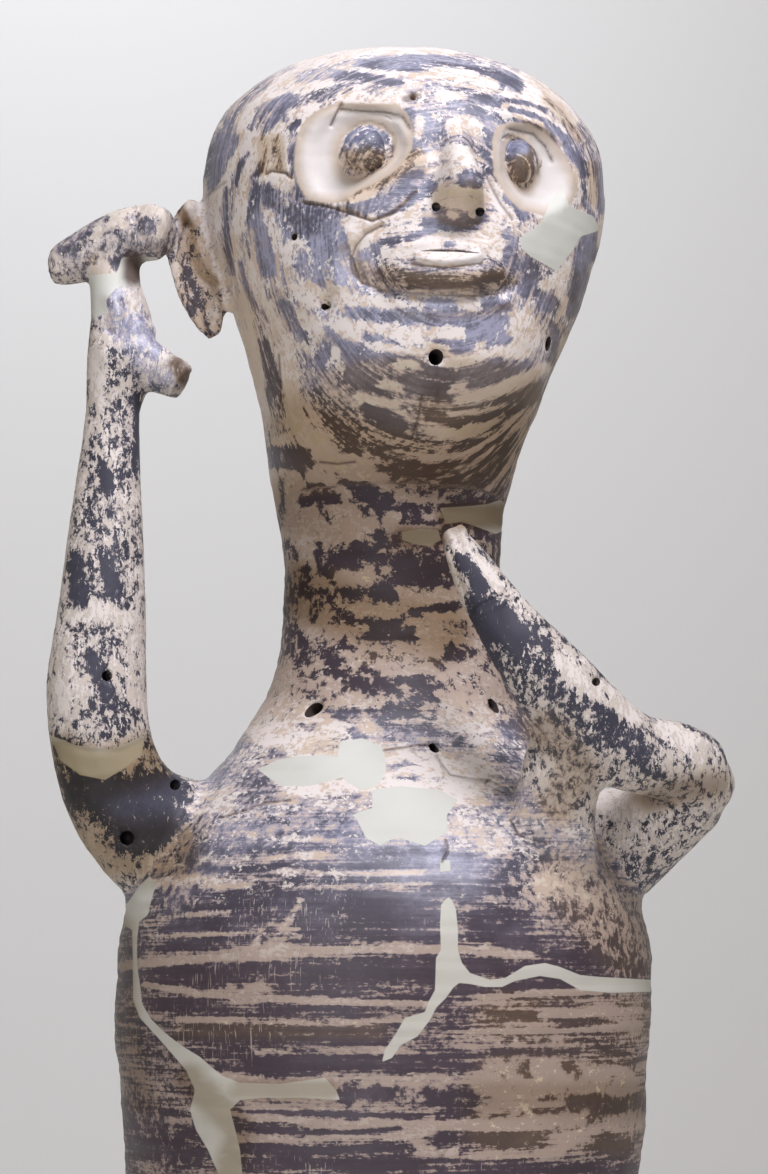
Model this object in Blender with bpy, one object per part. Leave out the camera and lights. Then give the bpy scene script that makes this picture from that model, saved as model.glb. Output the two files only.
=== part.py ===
"""A hollow pottery figure with a hammer-axe raised in its right hand.

The body, neck and head were thrown on a wheel as one bell with a closed crown, open at the foot.
The arms, axe, ear, nose, lips and eye pellets were modelled by hand and pressed on, and small vents
were pierced before firing, so the whole figure is one piece of fired clay.

Metres, +Z up. The face looks towards -Y, and the figure's right arm is at -X. The shapes are set
out round the axis of the foot. At the end the figure is moved, so that the origin is the middle of
its whole plan, at the level it stands on.
"""

import math

import bmesh
import bpy
from mathutils import Euler, Matrix, Vector

MM = 0.001

# Driving sizes, in millimetres
HEIGHT = 600
FOOT_RADIUS = 75
WAIST_RADIUS = 67
BELLY_RADIUS = 84.5
NECK_RADIUS = 34.5
HEAD_RADIUS = 65
WALL = 8
LEAN = 5  # the head leans this far towards the figure's left
CHIN_FORWARD = 13.5  # the face is pushed this far forward of the neck

VESSEL_SIDES = 48
FRONT_CLOSER = 0.45  # the columns of points are this much closer at the face than evenly spaced
CAVITY_SIDES = 28
ARM_SIDES = 14

# Heights of the main levels, in millimetres
SHOULDER = 353
NECK = 421
JAW = 446
CHIN = 486
MOUTH = 515.5
NOSE_TIP = 537
EYES = 551

# The eyes, nose and lips, in millimetres
EYE_SPREAD = 24.5
SOCKET_OFFSET = 4.5  # the dish of an eye is centred this much further out than its pellet
SOCKET_DEPTH = 4.5
PELLET_RADIUS = 7.8
NOSE_WIDTH = 21
NOSE_REACH = 19
NOSE_ROOT = 13  # the wedge of the nose is rooted this deep behind the face
LIP_WIDTH = 40
LIP_DROP = 1.5  # the roll of the lips is centred this far below the slit
MUZZLE_REACH = 3.5
CHIN_REACH = 6
SLIT_WIDTH = 20
VENT_RADIUS = 2

CLAY_COLOUR = (0.56, 0.45, 0.35, 1)
CLAY_ROUGHNESS = 0.7


def clear_scene():
    for thing in list(bpy.data.objects):
        bpy.data.objects.remove(thing)


def through(points, steps):
    """A smooth curve through rows of numbers, with `steps` spans between two neighbouring rows."""
    rows = [Vector(p) for p in points]
    rows = [2 * rows[0] - rows[1], *rows, 2 * rows[-1] - rows[-2]]
    made = []
    for before, a, b, after in zip(rows, rows[1:], rows[2:], rows[3:]):
        for step in range(steps):
            t = step / steps
            made.append(
                0.5
                * (
                    2 * a
                    + (b - before) * t
                    + (2 * before - 5 * a + 4 * b - after) * t**2
                    + (3 * a - before - 3 * b + after) * t**3
                )
            )
    return [*made, rows[-2]]


def skin(name, rings):
    """A closed solid through rings of points, all of the same count, with both ends filled."""
    shape = bmesh.new()
    loops = [[shape.verts.new(p * MM) for p in ring] for ring in rings]
    for low, high in zip(loops, loops[1:]):
        for i in range(len(low)):
            j = (i + 1) % len(low)
            shape.faces.new((low[i], low[j], high[j], high[i]))
    shape.faces.new(loops[0][::-1])
    shape.faces.new(loops[-1])
    bmesh.ops.triangulate(shape, faces=[f for f in shape.faces if len(f.verts) > 4])
    bmesh.ops.recalc_face_normals(shape, faces=shape.faces)
    mesh = bpy.data.meshes.new(name)
    shape.to_mesh(mesh)
    shape.free()
    made = bpy.data.objects.new(name, mesh)
    bpy.context.collection.objects.link(made)
    return made


def combine(target, other, operation):
    """Joins a pressed-on piece to the target, or cuts a hollow out of it, and uses the piece up."""
    step = target.modifiers.new(other.name, "BOOLEAN")
    step.operation = operation
    step.solver = "EXACT"
    step.object = other
    with bpy.context.temp_override(object=target, active_object=target):
        bpy.ops.object.modifier_apply(modifier=step.name)
    bpy.data.objects.remove(other)


def vessel_levels():
    """Rows of height, half width, half depth, sideways lean and forward push, from foot to crown."""
    foot = [
        (0, FOOT_RADIUS, FOOT_RADIUS, 0, 0),
        (12, FOOT_RADIUS - 2.5, FOOT_RADIUS - 2.5, 0, 0),
        (35, FOOT_RADIUS - 6, FOOT_RADIUS - 6, 0, 0),
        (80, WAIST_RADIUS, WAIST_RADIUS, 0, 0),
        (130, WAIST_RADIUS + 2.5, WAIST_RADIUS + 2.5, 0, 0),
        (180, WAIST_RADIUS + 7, WAIST_RADIUS + 7, 0, 0),
        (230, BELLY_RADIUS - 5.5, BELLY_RADIUS - 5.5, 0, 0),
    ]
    body = [
        foot[-1],
        (290, BELLY_RADIUS, BELLY_RADIUS, 0, 0),
        (325, BELLY_RADIUS - 3, BELLY_RADIUS - 3, 0.5, 0),
        (SHOULDER, 67, 67, 2, 0),
        (375, 49.5, 49.5, 3, 0),
        (395, NECK_RADIUS + 4.5, NECK_RADIUS + 4.5, 3, 0),
        (NECK, NECK_RADIUS, NECK_RADIUS, 3, 0),
        (JAW, NECK_RADIUS + 1.6, NECK_RADIUS + 3.5, 1.9, 0.8),
    ]
    head = [
        body[-1],
        (466, 40.1, 46.5, LEAN - 3.7, CHIN_FORWARD - 5),
        (CHIN, 45.7, 54, LEAN - 2.3, CHIN_FORWARD - 0.5),
        (520, 57.6, 60.5, LEAN - 0.4, CHIN_FORWARD),
        (545, HEAD_RADIUS, HEAD_RADIUS - 0.5, LEAN, CHIN_FORWARD - 3),
        (566, HEAD_RADIUS, HEAD_RADIUS - 0.5, LEAN, CHIN_FORWARD - 6),
        (582, 57, 55.5, LEAN, CHIN_FORWARD - 9),
        (593, 42, 41, LEAN, CHIN_FORWARD - 10.5),
        (HEIGHT - 1.5, 18, 18, LEAN, CHIN_FORWARD - 11),
    ]
    return foot[:-1] + through(body, 2)[:-1] + through(head, 3)


def dome(across, up):
    """A smooth swelling, 1 in its middle and 0 from one unit away."""
    return max(0, 1 - across**2 - up**2) ** 1.5


def face_relief(sideways, height):
    """How far the clay of the muzzle and chin stands out, in millimetres."""
    relief = MUZZLE_REACH * dome(sideways / 36, (height - MOUTH - 2) / 24)
    relief += CHIN_REACH * dome(sideways / 44, (height - CHIN - 2) / 20)
    return relief


def vessel_ring(level, sides, closer, relief):
    """One level of the vessel, its points drawn together towards the front by `closer`."""
    height, wide, deep, lean, push = level
    ring = []
    for i in range(sides):
        even = 2 * math.pi * i / sides
        angle = even - closer * math.sin(even)
        across, ahead = math.sin(angle), math.cos(angle)
        out = relief(wide * across, height) if ahead > 0 else 0
        ring.append(Vector((
            lean + (wide + out) * across,
            -push - (deep + out) * ahead,
            height,
        )))
    return ring


def outer_vessel():
    return skin("figure", [
        vessel_ring(level, VESSEL_SIDES, FRONT_CLOSER, face_relief) for level in vessel_levels()
    ])


def cavity():
    """The hollow inside: every level moved inwards by the wall, square to the outer profile."""
    levels = vessel_levels()[::2]
    inside = [(-WALL, FOOT_RADIUS - WALL, FOOT_RADIUS - WALL, 0, 0)]
    for below, level, above in zip(levels, levels[1:], levels[2:]):
        run = math.hypot(above[0] - below[0], above[1] - below[1])
        inwards = WALL * (above[0] - below[0]) / run
        upwards = WALL * (above[1] - below[1]) / run
        moved = (level[0] + upwards, level[1] - inwards, level[2] - inwards, level[3], level[4])
        if moved[0] > inside[-1][0] + 3:
            inside.append(moved)
    return skin("cavity", [
        vessel_ring(level, CAVITY_SIDES, 0, lambda sideways, height: 0) for level in inside
    ])


def limb(name, stations, steps=2, sides=ARM_SIDES, cup=0):
    """A rolled coil of clay along rows of x, y, z, half width and half thickness.

    The width lies across the limb and the front view, so a flattened hand shows its broad side to
    the front. A cup over 0 bends both edges of the coil towards the front, like a folded leaf.
    """
    rows = through(stations, steps)
    rings = []
    for i, row in enumerate(rows):
        place = Vector(row[:3])
        ahead = Vector(rows[min(i + 1, len(rows) - 1)][:3]) - Vector(rows[max(i - 1, 0)][:3])
        ahead.normalize()
        broad = ahead.cross(Vector((0, 1, 0))).normalized()
        thick = ahead.cross(broad)
        ring = []
        for k in range(sides):
            turn = 2 * math.pi * k / sides
            across = row[3] * math.cos(turn)
            through_it = row[4] * math.sin(turn) + cup * (row[3] * math.cos(turn) ** 2 - row[3] / 2)
            ring.append(place + broad * across + thick * through_it)
        rings.append(ring)
    return skin(name, rings)


def right_arm():
    """Out from the shoulder, then straight up through the fist to the axe."""
    return limb("right_arm", [
        (-50, 4, 336, 26, 25),
        (-68, 1, 343, 22, 21),
        (-83, -4, 354, 18, 17.5),
        (-91, -7, 371, 16, 15.5),
        (-93, -7, 389, 16, 15.5),
        (-92, -6, 409, 14.6, 14.2),
        (-91, -6, 432, 12.7, 12.4),
        (-90, -5, 458, 10.4, 10.2),
        (-89, -5, 480, 8.8, 8.6),
        (-87, -7, 494, 11, 10.5),
        (-87, -6, 509, 9.8, 9),
        (-89, -5, 520, 8.2, 8.2),
        (-89, -5, 532, 8.2, 8.2),
    ])


def broken_stub():
    """What is left of a strut that ran from the right fist, broken off square."""
    return limb("stub", [
        (-90, -8, 498, 9, 9),
        (-80, -11, 493, 8, 8),
        (-68, -15, 487, 6, 6),
    ], sides=10)


def axe():
    """The hammer-axe: a round bar, thicker at the hammer end beside the head."""
    return limb("axe", [
        (-109, 1, 526, 5, 5),
        (-106, 0, 526.5, 6.8, 6.4),
        (-98, -3, 530, 8.2, 7.8),
        (-89, -6, 534.5, 9, 8.4),
        (-81, -9, 536.5, 9.4, 8.8),
        (-75, -11, 536, 8.8, 8.4),
        (-73, -12, 535.5, 6, 6),
    ], sides=12)


def left_arm():
    """Out from the shoulder, round the elbow and back across the chest to a flat broken hand."""
    return limb("left_arm", [
        (52, -20, 332, 26, 22),
        (68, -35, 343, 18, 17),
        (78, -50, 351, 13.5, 14),
        (82.5, -61, 360.5, 14.2, 14.5),
        (74, -69, 366, 12.5, 13),
        (61, -74, 367, 12, 12),
        (47, -79, 373, 13.5, 12),
        (33, -83, 386, 13, 10.5),
        (21, -83, 400, 10.5, 8),
        (14, -81, 411, 8.6, 6.4),
        (8, -79, 422, 6.8, 5),
        (3, -75, 433, 3.8, 3.4),
    ])


def chest_strut():
    """The web of clay that props the left forearm off the chest."""
    return limb("strut", [
        (42, -79, 376, 14, 9),
        (38, -75, 364, 13, 8.5),
        (36.5, -69, 352, 13, 10),
        (36, -60, 341, 17, 14),
        (36, -49, 333, 21, 17),
    ], sides=12)


def ear():
    """The folded right ear, a leaf of clay that hangs beside the temple."""
    return limb("ear", [
        (-55, 0, 545, 5, 3),
        (-61.5, -1, 543.5, 8, 3.2),
        (-63.5, -2, 535, 9.5, 3),
        (-61.5, -3, 523, 9, 2.8),
        (-58.5, -4, 512, 7, 2.6),
        (-56.5, -5, 504.5, 2.6, 1.8),
    ], sides=10, cup=0.45)


def ball(name, place, turn, half_sizes, subdivisions):
    """An egg-shaped solid round a place, its half sizes across, through and up."""
    shape = bmesh.new()
    bmesh.ops.create_icosphere(shape, subdivisions=subdivisions, radius=MM)
    mesh = bpy.data.meshes.new(name)
    shape.to_mesh(mesh)
    shape.free()
    mesh.transform(Matrix.LocRotScale(Vector(place) * MM, Euler((0, 0, turn)), half_sizes))
    made = bpy.data.objects.new(name, mesh)
    bpy.context.collection.objects.link(made)
    return made


def eye_dish(side, radius):
    """The shallow dish pressed into the head round one eye."""
    turn = math.asin((EYE_SPREAD + SOCKET_OFFSET) / HEAD_RADIUS) * side
    place = (
        LEAN + HEAD_RADIUS * math.sin(turn),
        3.5 - CHIN_FORWARD - HEAD_RADIUS * math.cos(turn),
        EYES - 1,
    )
    return ball("dish", place, turn, Vector((radius, SOCKET_DEPTH, radius)), 3)


def eye_pellet(side):
    """A pellet of clay pressed into the dish of one eye."""
    place = (LEAN - 0.5 + side * EYE_SPREAD, 6.5 - CHIN_FORWARD - HEAD_RADIUS * 0.93 + 4, EYES)
    return ball("pellet", place, 0, Vector((1, 1, 1)) * PELLET_RADIUS, 2)


def nose():
    """A pinched wedge, narrow between the eyes and wide and undercut at the nostrils."""
    front = -CHIN_FORWARD - HEAD_RADIUS + 4
    rings = []
    for above_tip, width, reach in (
        (34, 10, -9),
        (26, 12, -0.5),
        (12, 13.5, NOSE_REACH * 0.42),
        (5, 15.5, NOSE_REACH * 0.8),
        (1, 17.5, NOSE_REACH),
        (-4, NOSE_WIDTH - 1, NOSE_REACH * 0.93),
        (-8, NOSE_WIDTH, NOSE_REACH * 0.68),
        (-12, NOSE_WIDTH * 0.8, NOSE_REACH * 0.25),
        (-14, NOSE_WIDTH * 0.6, 0),
    ):
        ring = []
        for k in range(12):
            turn = 2 * math.pi * k / 12
            ahead = NOSE_ROOT + reach if math.cos(turn) > 0 else 2
            ring.append(Vector((
                LEAN + 0.5 + 0.5 * width * math.sin(turn),
                front + NOSE_ROOT - ahead * math.cos(turn),
                NOSE_TIP + above_tip,
            )))
        rings.append(ring)
    return skin("nose", rings[::-1])


def lips():
    """A broad roll of clay under the nose that carries the slit of the mouth."""
    front = -CHIN_FORWARD - 62
    rings = []
    for across, half_height, reach in (
        (-0.54, 2.5, -1),
        (-0.42, 6, 4),
        (-0.2, 8.3, 7.5),
        (0, 8.8, 8.5),
        (0.2, 8.3, 7.5),
        (0.42, 6, 4),
        (0.54, 2.5, -1),
    ):
        curl = 24 * across**2
        ring = []
        for k in range(12):
            turn = 2 * math.pi * k / 12
            ahead = reach if math.cos(turn) > 0 else 10
            ring.append(Vector((
                LEAN - 2 + LIP_WIDTH * across,
                front + curl - ahead * math.cos(turn),
                MOUTH - LIP_DROP + half_height * math.sin(turn),
            )))
        rings.append(ring)
    return skin("lips", rings)


def round_cut(name, start, along, radius, end_radius, sides):
    """A round cutter from a start point along a vector, in millimetres."""
    side = along.cross(Vector((0, 0, 1))).normalized()
    up = side.cross(along).normalized()
    rings = []
    for place, size in ((start, radius), (start + along, end_radius)):
        turns = [2 * math.pi * k / sides for k in range(sides)]
        rings.append([place + (side * math.cos(t) + up * math.sin(t)) * size for t in turns])
    return skin(name, rings)


def vents():
    """Steam holes through the wall: degrees from the front towards the figure's left, and height."""
    holes = []
    for degrees, height, forward in (
        (-3, 486, 10),
        (-46, 527, 12),
        (-38, 504, 13),
        (45, 497.5, 12),
        (-9, 567.5, 6),
        (-46, 383, 0),
        (36, 385, 0),
        (1, 370, 0),
    ):
        outwards = Matrix.Rotation(math.radians(degrees), 3, "Z") @ Vector((0, -1, 0))
        start = Vector((LEAN * 0.7, -forward, height)) + outwards * 20
        holes.append(round_cut("vent", start, outwards * 80, VENT_RADIUS, VENT_RADIUS, 6))
    return holes


def nostrils():
    """Two pricked holes in the underside of the nose."""
    front = -CHIN_FORWARD - HEAD_RADIUS + 4
    return [
        round_cut(
            "nostril",
            Vector((LEAN - 2 + side * 6.4, front - 11.5, NOSE_TIP - 13)),
            Vector((0, 8, 10)),
            2.2,
            1.2,
            6,
        )
        for side in (-1, 1)
    ]


def mouth_slit():
    """The slit between the lips, cut with the edge of a thin blade."""
    front = -CHIN_FORWARD - 62
    rings = []
    for across, half_gap in ((-0.5, 0.1), (-0.25, 0.7), (0, 0.8), (0.25, 0.7), (0.5, 0.1)):
        x = LEAN - 2 + SLIT_WIDTH * across
        depth = front - 5 + 6 * abs(across)
        rings.append([
            Vector((x, front - 20, MOUTH + 0.5 + 4 * half_gap)),
            Vector((x, depth, MOUTH + 0.5)),
            Vector((x, front - 20, MOUTH + 0.5 - 4 * half_gap)),
        ])
    return skin("slit", rings)


def stand_on_origin(figure):
    """Moves the mesh, so that the middle of its plan is over the origin."""
    corners = [Vector(corner) for corner in figure.bound_box]
    middle = (min(corners, key=sum) + max(corners, key=sum)) / 2
    figure.data.transform(Matrix.Translation((-middle.x, -middle.y, 0)))


def main():
    clear_scene()
    figure = outer_vessel()
    for dish in (eye_dish(-1, 17.5), eye_dish(1, 16)):
        combine(figure, dish, "DIFFERENCE")
    added = [
        right_arm(), broken_stub(), axe(), left_arm(), chest_strut(), ear(),
        eye_pellet(-1), eye_pellet(1), nose(), lips(),
    ]
    for piece in added:
        combine(figure, piece, "UNION")
    for hollow in [cavity(), *vents(), *nostrils(), mouth_slit()]:
        combine(figure, hollow, "DIFFERENCE")
    stand_on_origin(figure)
    clay = bpy.data.materials.new("painted_clay")
    clay.use_nodes = True
    shader = clay.node_tree.nodes["Principled BSDF"]
    shader.inputs["Base Color"].default_value = CLAY_COLOUR
    shader.inputs["Roughness"].default_value = CLAY_ROUGHNESS
    figure.data.materials.clear()
    figure.data.materials.append(clay)
    figure.data.shade_smooth()
    figure.data.set_sharp_from_angle(angle=math.radians(50))


main()
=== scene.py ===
# %% [markdown]
# # A pottery figure with a hammer-axe
# The real figure is one piece of fired clay. Its body, neck and head were thrown on a potter's
# wheel, and the arms, axe, ear, nose, lips and eyes were pressed on by hand. It was brushed all
# over with a dark slip, most of which has flaked, and its breaks are filled with pale plaster.
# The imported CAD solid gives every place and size, and this script gives it its surface.
# %% Load the CAD frame
import math

import bpy
import numpy as np
from mathutils import Matrix, Vector
from mathutils.bvhtree import BVHTree


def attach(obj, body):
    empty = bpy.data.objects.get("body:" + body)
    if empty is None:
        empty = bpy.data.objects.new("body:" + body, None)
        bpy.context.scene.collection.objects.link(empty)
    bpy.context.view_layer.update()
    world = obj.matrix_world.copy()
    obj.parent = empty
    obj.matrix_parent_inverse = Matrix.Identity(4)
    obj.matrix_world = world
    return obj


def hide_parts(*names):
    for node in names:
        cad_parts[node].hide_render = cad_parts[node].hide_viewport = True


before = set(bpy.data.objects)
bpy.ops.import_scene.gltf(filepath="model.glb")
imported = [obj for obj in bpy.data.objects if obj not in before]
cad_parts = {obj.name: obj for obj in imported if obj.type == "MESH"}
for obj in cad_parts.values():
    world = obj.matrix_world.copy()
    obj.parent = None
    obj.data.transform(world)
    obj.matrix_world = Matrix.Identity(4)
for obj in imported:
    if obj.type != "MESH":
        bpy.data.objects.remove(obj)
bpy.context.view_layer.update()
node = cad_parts["figure"]
MM = 0.001

# %% [markdown]
# ## The wheel's axis
# A thrown pot is built round one upright axis. The middle of the round foot finds it. All places
# below are millimetres about that axis: x to the figure's left, y to its back, z up.
# %% Find the axis from the foot
corners = np.array([v.co for v in node.data.vertices])
foot = corners[corners[:, 2] < 0.5 * MM]
AXIS = np.append((foot.min(0) + foot.max(0))[:2] / 2, 0)
print("the wheel's axis stands at", np.round(AXIS / MM, 2), "mm")

# %% [markdown]
# ## The camera
# The photograph was taken a little below the chest, looking up, so brush lines on the belly look
# straight and those on the head curve. The level of the straight lines gives the camera's height.
# %% Place the camera
PHOTO_WIDTH, PHOTO_HEIGHT = 768, 1174
FOCAL = 2656  # in pixels of the photograph
HORIZON = 975  # the row of pixels at the camera's own height
AXIS_COLUMN = 383  # the column of pixels in which the axis shows
DISTANCE, EYE_HEIGHT, TURN = 0.85, 0.302, math.radians(-13)
SENSOR = 24

pitch = math.atan((HORIZON - PHOTO_HEIGHT / 2) / FOCAL)
camera = bpy.data.objects.new("camera", bpy.data.cameras.new("camera"))
bpy.context.collection.objects.link(camera)
bpy.context.scene.camera = camera
camera.data.sensor_fit = "VERTICAL"
camera.data.sensor_height = SENSOR
camera.data.lens = SENSOR * FOCAL / PHOTO_HEIGHT
camera.rotation_euler = (math.pi / 2 + pitch, 0, TURN)
sideways = Vector((math.cos(TURN), math.sin(TURN), 0))
camera.location = Vector(AXIS) + sideways * (PHOTO_WIDTH / 2 - AXIS_COLUMN) / FOCAL * DISTANCE
camera.location += Vector((DISTANCE * math.sin(TURN), -DISTANCE * math.cos(TURN), EYE_HEIGHT))
view_axes = np.array(camera.rotation_euler.to_matrix())
EYE = np.array(camera.location)
print("camera at", np.round(EYE, 3), "looking up by", round(math.degrees(pitch), 1), "degrees")


def to_photo(places):
    """The pixels of the photograph at which places of the model show."""
    seen = (places - EYE) @ view_axes
    scale = FOCAL / -seen[:, 2]
    return np.stack((
        PHOTO_WIDTH / 2 + seen[:, 0] * scale,
        PHOTO_HEIGHT / 2 - seen[:, 1] * scale,
    ), 1)


# %% [markdown]
# ## The room
# A plain pale wall and floor, with a soft light high in front, so the crown, forehead and chest
# shine and the undersides of the chin and nose stay warm and brown. A second light comes from the
# left, as from a window, and a third falls on the wall.
# %% The paint of the wall


def linear(hexcode):
    """A colour written as sRGB hex, as the linear values that Blender's shaders use."""
    channels = [int(hexcode[i : i + 2], 16) / 255 for i in (1, 3, 5)]
    return (
        *(c / 12.92 if c <= 0.04045 else ((c + 0.055) / 1.055) ** 2.4 for c in channels),
        1.0,
    )


def add(tree, kind, settings, inputs, output=None):
    """Adds a shader node, sets it, sets or links its inputs by name or number, gives an output."""
    made = tree.nodes.new("ShaderNode" + kind)
    for name, value in settings.items():
        setattr(made, name, value)
    sockets = [socket for socket in made.inputs if socket.enabled]
    for key, value in inputs.items():
        found = sockets[key] if isinstance(key, int) else next(s for s in sockets if s.name == key)
        if isinstance(value, bpy.types.NodeSocket):
            tree.links.new(value, found)
        else:
            found.default_value = value
    if output:
        return made.outputs[output]
    return next(socket for socket in made.outputs if socket.enabled)


def new_material(name):
    """A material and the two things that its recipe works on: its node tree and its shader."""
    made = bpy.data.materials.new(name)
    made.use_nodes = True
    return made, made.node_tree, made.node_tree.nodes["Principled BSDF"]


studio, _, studio_shader = new_material("pale_painted_plaster_wall")
studio_shader.inputs["Base Color"].default_value = linear("#e9e8e4")
studio_shader.inputs["Roughness"].default_value = 0.9
print("made", studio.name)

# %% Floor and wall
ROOM = 6.0  # metres
bpy.ops.object.select_all(action="DESELECT")
bpy.ops.mesh.primitive_plane_add(size=ROOM, location=(0, 0, 0))
floor = bpy.context.object
floor.name = "studio_floor"
bpy.ops.mesh.primitive_plane_add(
    size=ROOM, location=(0.5, 1.6, ROOM / 2 - 0.01), rotation=(math.pi / 2, 0, TURN)
)
wall = bpy.context.object
wall.name = "studio_wall"
for sheet in (floor, wall):
    sheet.data.materials.append(studio)
print("floor and wall are", ROOM, "m square")

# %% Lights and the way they are shown


def add_light(name, place, aim, size, watts, colour):
    """A square soft light at a place, turned to shine at another."""
    lamp = bpy.data.lights.new(name, "AREA")
    lamp.size, lamp.energy, lamp.color = size, watts, linear(colour)[:3]
    held = bpy.data.objects.new(name, lamp)
    held.location = place
    held.rotation_euler = (Vector(aim) - Vector(place)).to_track_quat("-Z", "Y").to_euler()
    bpy.context.collection.objects.link(held)


add_light("key_above_front", (0.14, -0.66, 1.24), (0, 0, 0.42), 0.5, 14, "#f0f1ff")
add_light("window_on_the_left", (-0.8, -1.35, 0.47), (0, 0, 0.5), 0.8, 8, "#f2f4ff")
add_light("wall_wash", (-0.15, 0.75, 1.9), (-0.1, 1.6, 1.1), 0.8, 14, "#f0f4ff")
world = bpy.data.worlds.new("soft_room_light")
world.use_nodes = True
world.node_tree.nodes["Background"].inputs[0].default_value = linear("#ffeed2")
world.node_tree.nodes["Background"].inputs[1].default_value = 0.16
bpy.context.scene.world = world
bpy.context.scene.view_settings.view_transform = "Standard"
print(len(bpy.data.lights), "lights are placed")

# %% [markdown]
# ## The fired body
# The CAD solid has the true outline in flat facets. A merged copy of it is turned into even small
# squares by a voxel remesh, which also runs the pressed-on pieces into the body the way wet clay
# does. The thrown parts are then smoothed until the facets are gone.
# %% Copy and remesh the solid
VOXEL = 1.2 * MM


def use_only(thing):
    """Makes one object the only one that an operator acts on."""
    bpy.ops.object.select_all(action="DESELECT")
    thing.select_set(True)
    bpy.context.view_layer.objects.active = thing


def apply_modifier(thing, kind, settings):
    """Adds a modifier, sets it and applies it to the mesh."""
    use_only(thing)
    step = thing.modifiers.new(kind.lower(), kind)
    for name, value in settings.items():
        setattr(step, name, value)
    bpy.ops.object.modifier_apply(modifier=step.name)


figure = node.copy()
figure.data = node.data.copy()
figure.name = figure.data.name = "fired_figure"
figure.parent = None
figure.matrix_world = Matrix.Identity(4)
bpy.context.collection.objects.link(figure)
use_only(figure)
bpy.ops.object.mode_set(mode="EDIT")
bpy.ops.mesh.select_all(action="SELECT")
bpy.ops.mesh.remove_doubles(threshold=0.01 * MM)
bpy.ops.object.mode_set(mode="OBJECT")
apply_modifier(figure, "REMESH", {"mode": "VOXEL", "voxel_size": VOXEL})
print("the remeshed body has", len(figure.data.vertices), "points")

# %% [markdown]
# ## Knowing the parts of the body
# One number tells the parts apart: how far a point stands out of the thrown wall. The wall itself
# is at 0, its inside below -4 mm, and the arms, ear and face features are above it.
# %% The thrown profile
# Rows of height, radius across, radius front to back, lean to the side and push to the front, in mm
PROFILE = np.array([
    (0, 75, 75, 0, 0),
    (12, 72.5, 72.5, 0, 0),
    (35, 69, 69, 0, 0),
    (80, 67, 67, 0, 0),
    (130, 69.5, 69.5, 0, 0),
    (180, 74, 74, 0, 0),
    (230, 79, 79, 0, 0),
    (290, 84.5, 84.5, 0, 0),
    (325, 81.5, 81.5, 0.5, 0),
    (353, 67, 67, 2, 0),
    (375, 49.5, 49.5, 3, 0),
    (395, 39, 39, 3, 0),
    (421, 34.5, 34.5, 3, 0),
    (446, 36.1, 38, 1.9, 0.8),
    (466, 40.1, 46.5, 1.3, 8.5),
    (486, 45.7, 54, 2.7, 13),
    (520, 57.6, 60.5, 4.6, 13.5),
    (545, 65, 64.5, 5, 10.5),
    (566, 65, 64.5, 5, 7.5),
    (582, 57, 55.5, 5, 4.5),
    (593, 42, 41, 5, 3),
    (598.5, 18, 18, 5, 2.5),
])
# Heights in mm: where the arms begin, the jaw, the lower edge of the face and the closed crown
SHOULDERS, JAW, FACE, CROWN = 320, 452, 480, 560


def read_points(thing):
    """The points of a mesh in millimetres about the wheel's axis."""
    flat = np.empty(len(thing.data.vertices) * 3)
    thing.data.vertices.foreach_get("co", flat)
    return (flat.reshape(-1, 3) - AXIS) / MM


def ramp(value, low, high):
    """0 below low, 1 above high and a smooth rise between them."""
    t = np.clip((value - low) / (high - low), 0, 1)
    return t * t * (3 - 2 * t)


def stand_out(places):
    """How far each point stands out of the thrown wall, in millimetres."""
    wide, deep, lean, push = (
        np.interp(places[:, 2], PROFILE[:, 0], PROFILE[:, i]) for i in range(1, 5)
    )
    across, back = places[:, 0] - lean, places[:, 1] + push
    turn = np.arctan2(across / wide, back / deep)
    radius = np.hypot(wide * np.sin(turn), deep * np.cos(turn))
    return np.hypot(across, back) - radius


proud = stand_out(read_points(figure))
print("points stand", round(proud.min()), "to", round(proud.max()), "mm out of the thrown wall")

# %% The inside, and what faces the camera


def read_normals(thing):
    """The outward direction at each point of a mesh."""
    flat = np.empty(len(thing.data.vertices) * 3)
    thing.data.vertex_normals.foreach_get("vector", flat)
    return flat.reshape(-1, 3)


def hollow(thing, places):
    """Which points are on the inner wall: below the outer one, and turned to the axis."""
    outwards, proud = read_normals(thing), stand_out(places)
    turned_in = (outwards[:, :2] * places[:, :2]).sum(1) < 0
    lid = (places[:, 2] > CROWN) & (outwards[:, 2] < 0)
    return (proud < -4) & (turned_in | lid | (proud < -20))


def faces_camera(thing, places):
    """How squarely the outer surface faces the camera: 1 straight on, below 0 turned away."""
    to_eye = (EYE - AXIS) / MM - places
    to_eye /= np.linalg.norm(to_eye, axis=1)[:, None]
    return np.where(hollow(thing, places), -1, (read_normals(thing) * to_eye).sum(1))


def survey(thing):
    """A mesh's points in mm, their pixels on the photograph and how squarely they face it."""
    places = read_points(thing)
    return places, to_photo(places * MM + AXIS), faces_camera(thing, places)


points, seen, facing = survey(figure)
print(int((facing > 0).sum()), "points face the camera, of", len(points))

# %% [markdown]
# ## Smoothing the thrown wall
# The features pressed on by hand keep their form, so each is fenced by an outline measured on the
# photograph. All else is smoothed until no facet of the solid shows.
# %% Outlines of the features
SOCKET = [  # the dish of the eye on the left of the picture, in pixels of the photograph
    (341, 103), (398, 104), (409, 116), (413, 132), (412, 148), (404, 162), (390, 175), (375, 184),
    (360, 190), (350, 197), (340, 203), (320, 203), (306, 199), (298, 185), (294, 170), (294, 155),
    (296, 140), (300, 128), (306, 119), (315, 112), (325, 107),
]
OTHER_SOCKET = [
    (492, 140), (497, 126), (512, 122), (530, 124), (545, 133), (556, 144), (566, 157), (574, 172),
    (578, 190), (570, 205), (545, 216), (520, 210), (506, 196), (494, 175),
]
PELLET = [
    (340, 137), (352, 126), (378, 126), (392, 140), (392, 164), (378, 179), (352, 179), (340, 166),
]
OTHER_PELLET = [
    (502, 146), (512, 136), (530, 138), (540, 155), (538, 176), (526, 185), (510, 180), (502, 165),
]
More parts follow.
